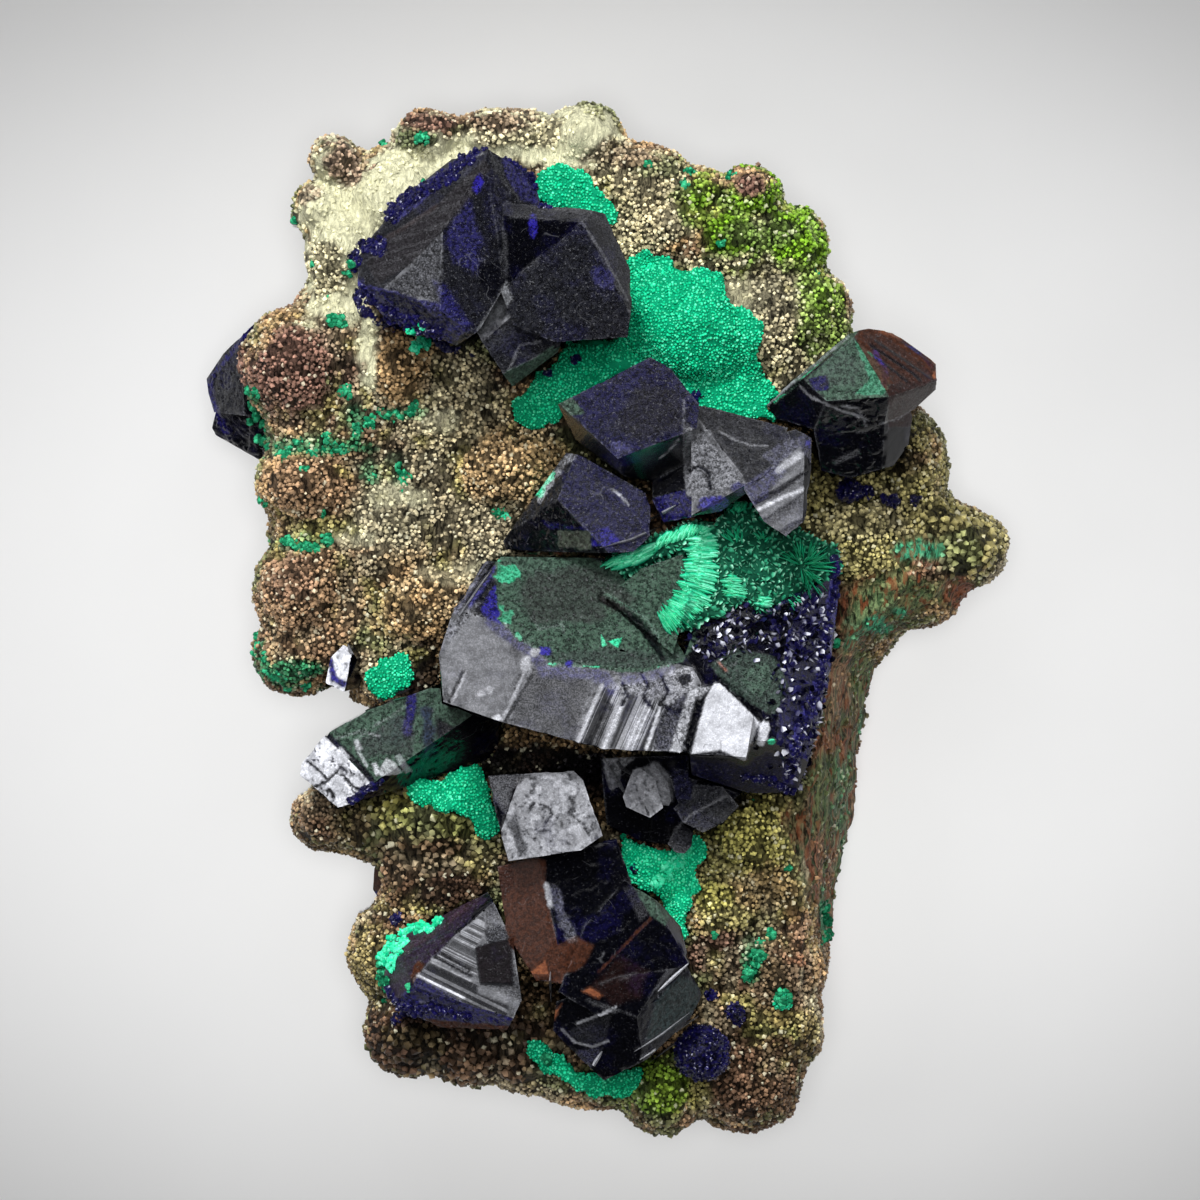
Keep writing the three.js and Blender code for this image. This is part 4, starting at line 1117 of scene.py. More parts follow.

# %% [markdown]
# The upper pair: a violet-black block and, leaning on it, a grey one whose front faces
# are silvered by etched frost and a painted reflection, one over mottled etching and the
# other over a flight of growth steps.

# %% The upper pair
finished_crystal("azurite_upper_pair", 0.18, 2, """
face 246 705 | violet | etching .9 .03
face 147 540 | dark |
face 403 429 | dark |
face 757 595 | grey | etching .7 .03
face 619 427 | silver | etching .5 .1
face 905 205 | silver | steps 33 1.6 .12
face 463 207 | blue |
flat 324 871, 481 816, 521 594, 324 538, 206 594 | .4 .5 | blue .03 pale .012 rust .05
flat 33 716, 167 871, 324 954, 324 843, 167 705, 128 621 | .4 .4 | blue .14 pale .008
flat -6 749, 57 771, 104 688, 41 671 | .1 | green .5 blue 0
spot 254 499 | 1.04 .52 .5 | blue .33 pale .06
line 497 760, 497 538, 505 316 | .17 .05 .4 | pale .216
line 475 541, 435 475, 404 441 | .17 .05 .6 | pale .288
flat 167 459, 325 498, 325 420, 226 386 | .2 | blue .18
# the grey block's crack, its rusty upper edge and its blue corner
line 639 588, 698 538, 757 510, 827 505 | .14 .06 | pale .18
flat 933 549, 977 583, 1008 538, 1000 416, 961 483 | .05 | pale .096 blue .12
spot 988 521 | .26 .35 .3 | blue 1
flat 804 455, 914 555, 953 505, 855 383 | .15 | pale .108 blue .1 mottle .8
# the mottled and the stepped silver face, with blue at their feet
flat 505 621, 560 583, 737 305, 698 261, 560 205, 505 233 | .1 | pale .245 mottle 1 blue 0
line 521 372, 552 394, 592 361, 599 261 | .26 .1 | pale 0 lift -.1
spot 616 178 | 1.22 .7 .6 | blue .85 pale .06
spot 709 272 | .78 .61 .6 | blue .36 pale .09
flat 736 288, 834 393, 893 371, 815 205, 764 177 | .3 .2 | blue .21 pale .096
line 779 188, 874 260, 976 360 | .26 .05 | pale .018 lift -.1
line 787 149, 881 216, 964 265 | .26 .08 | pale .68
line 866 371, 952 454 | .52 .1 | pale .468
""")

# %% [markdown]
# The lozenge below the pair is violet and smooth, with a rugged upper edge where a little
# malachite has settled, and the block on the right has a green face beside a rusty one.

# %% The middle lozenge
finished_crystal("azurite_middle_lozenge", 0.18, 3, """
face 693 428 | violet | etching 1 .03
face 321 182 | dark | etching .6 .1
face 287 628 | mottled | etching .6 .15
flat 389 824, 929 527, 963 230, 727 32, 457 428 | .1 .1 | pale .012 blue .12 mottle .8
spot 680 151 | 1.22 .78 .7 | blue .7
line 740 636, 794 576, 855 477 | .14 .05 | pale .4
flat 362 231, 592 211, 605 32, 389 52 | .3 | green .4 rust .25 pale .018
flat 254 330, 659 231, 646 52, 592 231, 288 251 | .2 | blue .21
line 261 528, 308 687, 389 865, 470 964 | .52 .25 .5 | pale .432
line 247 568, 281 687, 335 805 | .61 .3 | green .95
""")

# %% The right block
finished_crystal("azurite_right_block", 0.18, 4, """
face 453 717 | green | etching .8 .05
face 807 786 | brown | ribs -32 .9 .16
face 453 450 | dark | etching 1.2 .1
face 191 519 | dark |
face 261 719 | green |
face 545 252 | dark | etching 1.4 .1
flat 494 938, 600 851, 717 651, 682 544, 483 544, 588 651 | .25 | green .78 pale .012
flat 307 704, 436 851, 553 751, 512 617, 365 597 | .2 .3 | green .42 pale .018 mottle .3
line 629 838, 688 717, 682 624 | .43 .2 .5 | blue .95 green 0
flat 555 947, 690 974, 966 706, 866 519, 778 545, 690 706 | .1 | rust .42 pale .006 ribbed 0 mottle .7
line 608 887, 848 706, 925 626 | .26 .03 | rust .1 lift -.1
line 637 913, 807 786, 954 666 | .17 .03 | rust .1
line 590 840, 719 733, 866 599 | .17 .03 | rust .1
line 663 983, 810 942, 957 828, 998 721, 980 587, 910 507 | .52 .15 .3 | rust 1
line 807 920, 895 840, 978 746 | .43 .2 .6 | blue .36 rust 0
line 2 503, 131 630, 260 744, 471 945 | .35 .06 .2 | pale .396 green .5
line 43 510, 189 644, 365 811 | .26 .05 | green .95
line 101 570, 219 664, 377 824 | .17 .04 | pale 0 green 0
flat 698 614, 1015 668, 1015 359, 710 333 | .1 | rust .3 mottle .9
line 189 610, 260 530, 395 463, 588 383 | .17 .1 .3 | pale .252
line 436 477, 529 463, 576 350 | .17 .06 .4 | pale .216
line 659 356, 776 397, 846 450 | .13 .06 .4 | pale .216
line 398 105, 533 172 | .43 .1 | pale .072
flat 225 664, 342 677, 365 570, 277 584 | .15 | blue .21 green 0
""")

# %% [markdown]
# On the left, a dark pair of crystals clings to the rock's edge. Below it lies a long green
# block with a silver end, and a tiny oval crystal.

# %% The crystals on the left
finished_crystal("azurite_left_edge", 0.18, 5, """
face 256 615 | mottled | etching .8 .1
face 438 248 | dark | etching .8 .08
line 12 547, 115 635, 346 769, 578 916 | .43 .2 | blue .3
line 25 568, 89 413, 256 232 | .52 .2 | blue .33
""", hidden_below=5.0)
finished_crystal("azurite_lower_left", 0.17, 6, """
face 182 360 | white | etching .8 .05, cracks 2.2
face 457 569 | green | etching 1 .06
face 657 362 | dark | etching .8 .06
flat 348 611, 507 801, 587 611, 567 428, 418 445, 318 420, 288 553 | .25 | green .28 pale .021 rust .04
flat 183 627, 358 751, 507 859, 482 801, 308 611, 233 528 | .2 | green .6 mottle 1
line 562 983, 557 801, 542 635 | .78 .2 | blue .33 green 0
flat 597 859, 667 834, 687 445, 627 403 | .5 .3 | blue .18 green .2
flat 682 776, 856 611, 881 321, 707 279 | .4 .4 | pale .012 green 0 blue 0
line 183 577, 268 619, 333 652 | .13 | pale .16
line 368 677, 457 760, 532 851 | .13 | pale .12 green .5
flat 273 561, 298 569, 318 486, 288 470 | .03 | pale .72 lift .15
line 293 486, 318 403, 338 354 | .22 .15 | pale .36
line 288 577, 338 627, 398 602 | .17 .15 .5 | pale .26
flat 363 370, 388 387, 408 287, 388 271 | .03 | pale .68 lift .15
flat 408 337, 437 420, 477 387, 517 296, 408 263 | .05 | pale .504 rust .2 lift .12
flat 477 428, 507 461, 567 304, 532 287 | .05 | pale .288 blue .1 lift .12
line 137 609, 231 468, 296 369, 366 228 | .43 .06 | pale 0 green 0 lift -.2
line 206 485, 236 427 | .43 .08 | pale .76
line 37 385, 87 319, 132 244 | .22 .06 | pale .03 lift -.15
line 67 161, 137 219, 206 335, 236 302 | .22 .06 | pale .03 lift -.15
line 231 236, 266 186, 306 136 | .22 .05 | pale .03 lift -.15
""")
finished_crystal("azurite_small_oval", 0.16, 7, """
face 393 506 | white | etching .6 .04
face 845 418 | dark |
line 114 675, 222 289, 493 160 | .52 .15 | blue .7 pale .018
""")
finished_crystal("azurite_silver_block", 0.17, 8, """
face 542 508 | frosted | etching .75 .13
face 79 670 | dark |
flat -32 943, 368 965, 212 787, 160 508, 64 675 | .1 | pale .102 mottle .4
flat 160 430, 281 52, 351 119, 238 508 | .2 .1 | pale .12 mottle .6
line 342 542, 411 642, 533 586, 568 508, 498 430 | .12 .22 .5 | pale .05 lift -.06
line 411 241, 446 330, 568 341, 637 353, 646 442 | .12 .22 .5 | pale .05 lift -.06
line 681 742, 750 642, 698 542, 837 397, 889 275 | .14 .22 .4 | pale .07 lift -.06
""")

# %% [markdown]
# Small tablets stand in a dark hollow under the main plate.

# %% The small group under the plate
finished_crystal("azurite_small_group", 0.17, 9, """
face 298 597 | frosted | etching .6 .03
face 440 699 | silver | etching .5 .03
face 596 699 | charcoal |
face 745 466 | grey | etching .7 .03
face 576 135 | grey |
line 390 871, 454 770, 483 567 | .87 .05 | pale .302 mottle .6
line 199 526, 199 648, 256 851, 355 871 | .26 .04 | pale .216
flat 15 968, 285 999, 157 846, 128 694, 86 623, 43 826 | .3 | pale .288 mottle 1
line 532 222, 639 395, 908 597 | .17 .04 | pale .15
flat 511 851, 639 871, 653 547, 532 547 | .1 | pale .012 blue .072
""")

# %% [markdown]
# The bottom cluster leans in several directions: a ribbed silver face on the left, a
# smooth reddish-brown one in the middle, black ones beside it and a greenish one at the
# lower right. A little dark square crystal sits on the ribbed face.

# %% The bottom cluster
finished_crystal("azurite_bottom_cluster", 0.185, 10, """
face 226 459 | tablet | ribs -28 1 .1
face 179 272 | blue | etching .7 .1
face 179 622 | dark | ribs 4 .7 .15
face 445 747 | brown |
face 632 789 | dark | etching .8 .04
face 803 582 | dark | etching 1 .05
face 897 313 | charcoal | etching .7 .05
face 616 172 | dark |
# the ribbed face: pale above, blue below, with bright ribs
flat 148 500, 317 697, 323 623, 292 541, 298 439 | .1 .1 | pale .34 ribbed .9 mottle .3
flat 111 439, 148 492, 298 410, 298 369, 398 316, 385 254, 273 295 | .1 .1 | pale .16 ribbed .95 mottle .3
flat 55 316, 105 435, 248 336, 248 254, 148 287 | .2 .1 | pale .018 blue .24 ribbed .7
line 111 439, 180 394, 248 348 | .35 .05 | pale .72 lift .08
line 145 492, 211 451, 273 414 | .22 .04 | pale .324 lift .05
line 180 529, 273 459 | .22 .04 | pale .006 lift -.06
line 167 513, 279 435 | .17 .04 | pale .006 lift -.06
line 117 328, 180 287 | .26 .1 | pale .324
# the square crystal on it
flat 289 550, 404 591, 407 402, 307 402 | .05 | pale 0 mottle .5 ribbed 0 gloss .2 rust .1 lift .45
flat 311 623, 367 644, 404 591, 335 566 | .2 | pale .06 mottle 1
# skirts and rim on the left
flat 7 396, 85 396, 116 313, 273 252, 241 211, 54 231, 7 293 | .3 | blue .36 pale .018 mottle 1
flat 131 258, 272 241, 460 229, 413 147, 272 188, 147 209 | .15 | rust .7 blue 0 pale 0
flat -20 426, 55 566, 273 779, 323 747, 180 541, 102 435, 49 328 | .2 | rust .2 mottle 1 pale 0 blue .1
flat 86 439, 111 500, 130 480, 92 398 | .1 | rust .75 blue 0
line 55 541, 148 623, 273 747 | 1.22 .3 .4 | rust .35 blue .15 pale .012
flat -9 517, 53 538, 84 435, 6 373, -16 435 | .2 | pale 0 blue .1 green .15
# the reddish-brown face
flat 373 871, 429 920, 510 912, 510 666, 538 584, 461 441, 398 564, 367 728 | .1
    | rust .55 mottle .25 pale .007 blue 0
flat 355 863, 404 904, 404 810, 373 748 | .15 | rust .4 mottle .9 pale 0
flat 442 441, 529 551, 601 605, 663 564, 616 469, 542 428 | .2 .2 | rust .6 pale 0 green .05
flat 448 441, 507 502, 523 441 | .1 | rust .95
line 513 810, 523 728 | .43 .1 | pale .432 rust 0
line 535 789, 554 699, 591 592 | .78 .4 .5 | blue .15 pale .14 mottle 1 lift .05
flat 523 646, 679 687, 741 769, 747 625, 616 564, 538 564 | .4 .4 | blue .08
# the black right part, with a red line and a green bevel
flat 647 400, 741 523, 834 461, 803 338, 710 318 | .4 .4 | rust .18
flat 616 377, 647 398, 688 361, 672 344 | .05 | rust .95
line 837 674, 756 564, 672 453 | .17 .06 .4 | rust .7 blue .09
flat 753 796, 785 808, 835 697, 803 656 | .08 | pale .036
flat 772 827, 835 774, 897 683, 882 642, 835 683 | .08 | green .5 pale .006
flat 850 334, 928 437, 991 396, 991 293, 882 190, 819 170 | .2 .2 | green .25 pale .018 blue .06 mottle .9
# grey facets at the foot, thin arcs and orange chips
flat 572 203, 679 285, 716 301, 694 149, 632 149 | .08 | pale .021 mottle .4
flat 610 129, 679 137, 647 38, 600 79 | .08 | pale .054 blue .1
line 560 217, 597 164, 654 143, 704 168 | .17 .03 | pale .252
line 607 242, 679 279, 728 311 | .22 .04 | pale .324
flat 435 178, 507 260, 560 326, 541 260, 491 194 | .08 | rust 1 pale 0
""")
finished_crystal("azurite_edge_crystal", 0.18, 0, """
face 494 539 | brown |
line 123 245, 448 46, 809 387 | .61 .2 | blue .8 rust 0
""", hidden_below=10.0)

# %% [markdown]
# The rock is one lumpy mass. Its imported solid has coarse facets, so a copy of it is
# remeshed into small even squares, relaxed until the facets are gone, and then given the
# swellings and hollows that a botryoidal rock has at every scale.

# %% Remesh tools
def remeshed(node, voxel):
    """A copy of a CAD node's solid as an even net, in a mesh of its own."""
    bm = welded(node)
    source = bpy.data.meshes.new(node + "_copy")
    bm.to_mesh(source)
    bm.free()
    holder = place_object(node + "_copy", source)
    remesh = holder.modifiers.new("even_net", "REMESH")
    remesh.mode = "VOXEL"
    remesh.voxel_size = voxel * MM
    mesh = bpy.data.meshes.new_from_object(holder.evaluated_get(bpy.context.evaluated_depsgraph_get()))
    bpy.data.objects.remove(holder)
    return mesh


def relaxed(mesh, points, rounds):
    """Moves each point towards the middle of its neighbours, which rounds off the facets."""
    ends = np.empty(len(mesh.edges) * 2, np.int32)
    mesh.edges.foreach_get("vertices", ends)
    a, b = ends.reshape(-1, 2).T
    count = np.bincount(np.concatenate([a, b]), minlength=len(points))[:, None]
    for _ in range(rounds):
        total = [
            np.bincount(a, points[b, axis], len(points)) + np.bincount(b, points[a, axis], len(points))
            for axis in range(3)
        ]
        points = points + 0.6 * (np.stack(total, axis=1) / count - points)
    return points


def rounded(node, voxel, rounds):
    """A body as an even net with its facets rounded off: the mesh and its points."""
    mesh = remeshed(node, voxel)
    points = relaxed(mesh, points_of(mesh), rounds)
    move_points(mesh, points)
    return mesh, points


def dressed(mesh, material):
    """Gives a mesh its material and smooth shading."""
    mesh.materials.clear()
    mesh.materials.append(material)
    smooth_shaded(mesh)


# %% The rock's shape
ROCK_NET = 0.47
rock, points = rounded("matrix", ROCK_NET, 5)
normals = normals_of(rock)
above_floor = ramp(points[:, 2], 0.3, 3)
# how high and how wide the swellings are in millimetres, their seed and their scales
SWELLINGS = [(0.8, 5.5, 21, 3), (0.9, 1.9, 22, 3), (0.3, 0.95, 23, 2)]
swelling = sum(high * (cloud_at(points, *wide) - 0.5) for high, *wide in SWELLINGS)
points += normals * (swelling * above_floor)[:, None]
points[:, 2] = np.clip(points[:, 2], 0, None)
move_points(rock, points)
normals = normals_of(rock)
crown = ramp(np.sum((points - relaxed(rock, points, 30)) * normals, axis=1), -0.3, 0.22)
print("rock net:", len(points), "points")

# %% [markdown]
# The rock's skin changes colour with the mineral that coats it: brown and reddish-brown
# bosses, cream and beige slopes, lime green and olive patches, a broken flank with
# streaks. The tones shade, dark and black are painted shadow, most of it under the main
# plate's lower edge. Each patch is a soft, ragged blob laid over the ones before it. In the
# table, a line gives its tone, its place in thousandths of the whole, its two radii in
# millimetres, how ragged it is and how much of it is laid on.

# %% Colours of the rock's skin
TONES_TABLE = """
brown 136 110 84
mauve 114 86 74
cream 208 206 172
beige 180 170 136
stone 152 144 118
tan 158 130 92
lime 96 132 32
olive 138 130 84
yellow 158 152 84
earth 92 70 54
rust 122 78 56
rose 168 122 100
moss 92 102 66
teal 58 132 98
leaf 24 112 74
shade 58 58 44
dark 46 34 28
black 12 10 14
"""
TONES = {
    name: np.array(colour(*map(float, levels))[:3])
    for name, *levels in map(str.split, lines_of(TONES_TABLE))
}
# the tones shade, dark and black paint shadow: under the main plate's lower edge and in a few other shaded
# places
SKIN = """
stone 308 594 9.6 7.8 .6 .8
stone 209 604 5.2 3.5 .6 .9
beige 308 710 5.2 4.3 .6 .75
tan 384 647 4.9 3.8 .4 .8
shade 369 609 1.7 1.2 .8 .8
tan 283 517 5.2 5.2 .5 .6
cream 166 864 5.4 7.6 .5 1
cream 246 917 6.1 4.9 .5 1
cream 345 950 4.3 1.9 .5 1
cream 449 965 5.2 3.1 .45 1
cream 207 756 1.2 3.6 .6 1
cream 246 617 3.1 1 .8 .55
cream 187 580 2.1 1 .8 .5
cream 295 687 1.9 1.2 .8 .45
cream 332 542 3.5 1.2 .8 .35
beige 154 837 1.7 3 .8 .8
beige 388 970 4.3 1.4 .8 .8
beige 542 902 4.7 5.2 .5 .9
beige 702 777 7.8 7.8 .5 .95
stone 591 888 1.9 2.3 .7 .6
cream 671 816 2.6 2.6 .7 .5
lime 702 881 6.6 4 .5 1
lime 615 902 2.8 2.4 .6 .8
lime 766 806 2.6 4.3 .6 .8
moss 689 871 4.7 1.4 .7 .6
moss 566 933 3 1.2 .7 .7
moss 261 962 2.3 1 .6 .9
mauve 178 941 2.1 1.9 .5 .85
mauve 129 912 1.6 1 .6 .7
mauve 285 979 2.6 1.2 .5 .9
mauve 369 983 3.5 1.2 .6 .7
mauve 517 950 3 1.4 .6 .6
mauve 677 919 1.6 1.4 .3 1
mauve 119 731 4.9 4.9 .4 1
brown 138 625 4.5 3.6 .4 1
brown 249 743 2.6 4 .4 .9
yellow 148 587 3.5 1 .8 .6
brown 133 517 5.2 5 .4 1
mauve 111 542 2.3 2.3 .6 .4
olive 825 618 7 7.4 .5 .95
beige 800 594 4.3 1.9 .7 .35
lime 766 806 1.2 1.7 .7 .6
olive 948 580 4.3 3.9 .4 .9
moss 933 561 2.3 2.1 .7 .7
olive 677 267 6.5 7 .5 .95
yellow 665 311 4.3 2.6 .6 .7
tan 695 241 3 2.1 .6 .7
yellow 634 232 1.7 1.4 .4 .9
mauve 643 176 3.1 2.4 .5 .9
rust 732 195 1.6 3 .7 .6
earth 692 147 4 4 .6 .8
yellow 720 99 3 3 .7 .35
earth 677 58 5.4 4.3 .5 .95
yellow 591 41 3.1 1.7 .6 .8
moss 277 296 7.8 4.9 .5 .6
yellow 231 314 2.3 1.9 .6 1
yellow 322 304 2.6 1.9 .6 .9
brown 271 266 4.7 2.6 .6 .8
earth 156 304 3.6 3.1 .4 .7
yellow 252 224 2.6 1 .7 .8
earth 234 147 4.3 7.8 .5 .75
olive 212 166 1.9 3.8 .7 .6
earth 308 80 9.6 3.5 .5 .9
olive 265 94 3 1.4 .7 .6
brown 345 85 3.5 1.7 .7 .5
lime 560 51 2.8 2.6 .6 .8
moss 523 46 2.1 1.7 .6 .6
stone 704 816 3 3 .7 .8
tan 246 743 2.4 3.5 .6 .9
yellow 679 282 3 2.1 .7 .7
dark 301 90 8.7 2.3 .6 .8
dark 332 371 4 1.4 .5 .9
dark 480 352 5.2 1.6 .5 .9
dark 640 325 4 1.2 .6 .8
dark 406 123 5.2 2.6 .5 .8
moss 285 302 5.2 2.3 .8 .6
earth 314 237 2.8 1.7 .6 .8
dark 862 650 2.3 1.2 .7 .8
black 394 360 9.6 1.7 .4 .95
black 492 348 5.2 2.3 .4 .95
black 603 323 5.2 1.4 .4 .8
black 295 421 3.5 5.2 .4 .9
black 492 570 7 1.7 .4 .9
earth 277 253 6.1 3 .6 .8
dark 308 242 3.8 1.9 .7 .7
leaf 141 665 5.4 .7 .7 .9
leaf 191 686 .7 1.9 .8 .9
leaf 236 698 2.1 .7 .8 .8
leaf 65 691 .9 2.3 .8 .9
leaf 104 448 3.5 1 .8 .9
leaf 65 479 .6 2.3 .8 .8
leaf 207 641 .9 .9 .6 .8
leaf 240 643 1 1.4 .8 .6
leaf 123 573 2.8 .6 .8 .8
leaf 679 173 .8 2.3 .7 .9
"""


def lay(colours, tone, mask):
    """Lays a tone over the colours, by a share at each point."""
    colours += (TONES[tone] - colours) * mask[:, None]


def patches_in(table, places, size, seed):
    """The tone and the mask of each patch in a table of the rock's skin."""
    for number, row in enumerate(lines_of(table)):
        tone, *numbers = row.split()
        across, up, wide, tall, ragged, share = map(float, numbers)
        here = blob(places, on_whole(across / 1000, up / 1000), (wide, tall), ragged, size, seed + number)
        yield tone, share * from_above * here


mineral = np.tile(TONES["brown"], (len(points), 1))
for number, tone in enumerate(("stone", "earth", "tan", "moss")):
    lay(mineral, tone, 0.8 * ramp(cloud_at(points, 5, 80 + number), 0.5, 0.6))
sugary = np.zeros(len(points))
from_above = ramp(points[:, 2] + 3 * cloud_at(points, 3, 79), 3, 11)
# on steep sides the patches wander, so that they don't hang down in stripes
steep = 1 - ramp(normals[:, 2], 0.1, 0.5)
wander = np.stack([cloud_at(points, 3.5, seed) - 0.5 for seed in (87, 88, 89)], 1)
strayed = points + 16 * wander * steep[:, None]
for tone, mask in patches_in(SKIN, strayed, 2.0, 100):
    lay(mineral, tone, mask)
    sugary += ((1.0 if tone == "cream" else 0.0) - sugary) * mask

# broad patches of light and shade
shaded = 0.52 + 1.1 * cloud_at(points, 2.6, 72)
mineral *= (shaded + (1 - shaded) * sugary)[:, None]

# in the hollows between the bosses the skin turns pale, and here and there green
hollow = (1 - crown) * (1 - sugary)
pale_here = hollow * ramp(cloud_at(points, 3, 70), 0.3, 0.6)
lay(mineral, "stone", 0.5 * pale_here)
green_here = hollow * ramp(cloud_at(points, 1.6, 71), 0.52, 0.66)
lay(mineral, "yellow", 0.6 * green_here)
# painted shade: the hollows between the bosses are darkened in patches
mineral *= (1 - 0.45 * hollow * ramp(cloud_at(points, 1.1, 73), 0.45, 0.6))[:, None]

# %% [markdown]
# The right flank is where the specimen was broken from its wall: a bare, fibrous surface
# in brown, rust and green, with a shelf above it.

# %% The broken flank
FLANK = """
moss 868 517 5.2 3.5 .5 .8
brown 785 441 1.7 3.5 .5 .9
rust 783 513 1 1.9 .5 .9
moss 822 441 1.4 3.1 .4 1
rust 775 378 2.3 1.4 .7 .7
moss 761 349 2.4 2.3 .6 .8
teal 794 325 1 5.2 .9 .45
teal 835 493 1 .7 .6 1
teal 865 506 .8 .4 .6 1
teal 849 489 .6 .5 .6 1
rust 942 527 1.9 1.9 .5 1
rose 892 547 1.4 .7 .5 .9
teal 892 568 2.3 1 .7 1
teal 862 561 1 .6 .6 1
earth 739 296 1.2 6.1 .7 .7
rust 753 229 .9 5.2 .8 .7
teal 771 210 .7 2.3 .6 .9
stone 746 248 .3 2.1 .6 .8
"""
sideways = ramp(normals[:, 0], 0.1, 0.4)
bare = sideways * blob(points, on_whole(0.794, 0.344), (5.74, 16.51), 0.2, 3, 90, turn=6)
SHELF = [
    ((0.843, 0.513), (4.52, 2.95), 18),
    ((0.936, 0.525), (2.09, 1.56), 0),
    ((0.886, 0.564), (2.43, 1.3), 0),
]
for number, (place_on, radii, turn) in enumerate(SHELF):
    bare = np.maximum(bare, blob(points, on_whole(*place_on), radii, 0.3, 2, 91 + number, turn))
underside = ramp(-normals[:, 2], 0.1, 0.5)
bare = np.maximum(bare, underside)
broken = np.tile(TONES["brown"], (len(points), 1))
lay(broken, "moss", ramp(cloud_at(points * (1, 0.4, 1), 2.2, 60), 0.42, 0.58))
for number, tone in enumerate(("rust", "teal", "earth")):
    lay(broken, tone, 0.7 * ramp(cloud_at(points * (1, 0.5, 1), 3, 86 + number), 0.55, 0.63))
for tone, mask in patches_in(FLANK, points, 1.4, 200):
    lay(broken, tone, mask)
mineral += (broken - mineral) * bare[:, None]
rough = 0.8 * bare * (cloud_at(points * (1, 0.4, 1), 1.1, 60, 2) - 0.5)
sugar_lumps = 0.7 * sugary * (cloud_at(points, 1.5, 65, 2) - 0.5)
shaped = points + normals * (rough + sugar_lumps)[:, None]
shaped[:, 2] = np.clip(shaped[:, 2], 0, None)
move_points(rock, shaped)
paint(rock, "mineral", mineral)
paint(rock, "bare", bare)
paint(rock, "sugary", sugary)

# %% [markdown]
# A skin of tiny crystals, the druse, covers the rock everywhere but on its broken flank
# and its underside. It grows wherever a point looks out into the open, so the places
# under the big crystals stay empty. The grains are spread by Geometry Nodes.

# %% Where the druse grows
def solid_tree(names):
    """The solids of several bodies as one tree that rays can be cast at."""
    corners, triangles = [], []
    for name in names:
        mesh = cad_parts[name].data
        triangles += [tuple(i + len(corners) for i in p.vertices) for p in mesh.polygons]
        corners += [tuple(v.co) for v in mesh.vertices]
    return BVHTree.FromPolygons(corners, triangles)


UP = Vector((0, 0, 1))
NOT_ON_TOP = ("matrix", "malachite_crust")
big_crystals = solid_tree([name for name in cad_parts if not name.startswith(NOT_ON_TOP)])
covered = np.array([big_crystals.ray_cast(Vector(p) * MM + UP * 1e-5, UP)[0] is not None for p in points])
upward = ramp(normals[:, 2], -0.35, 0.3)
growth = np.where(covered, 0.0, 1.0) * ramp(points[:, 2], 0.6, 2.5)
growth = growth * (0.4 + 0.6 * upward) * (1 - 0.85 * bare)
growth[normals[:, 2] < -0.8] = 0
growth *= 1 - (0.45 + 0.5 * ramp(cloud_at(points, 2.5, 96), 0.3, 0.6)) * sugary
growth *= 1 - 0.8 * ramp(cloud_at(points, 0.95, 97, 2), 0.6, 0.66)
coarse_zone = np.zeros(len(points))
COARSE_PLACES = [(0.277, 0.296, 6.5, 4.3), (0.332, 0.08, 9.6, 3), (0.936, 0.57, 3.5, 3)]
for across, up, wide, tall in COARSE_PLACES:
    zone = blob(points, on_whole(across, up), (wide, tall), 0.4, 3, 300)
    coarse_zone = np.maximum(coarse_zone, zone)
print("druse grows on", round(float((growth > 0.3).mean()) * 100), "% of the rock's points")

# %% The scatter tree
SCATTER_INPUTS = ("Surface", "Grain", "Spacing", "Smallest", "Largest", "Tilt", "Seed", "Material")


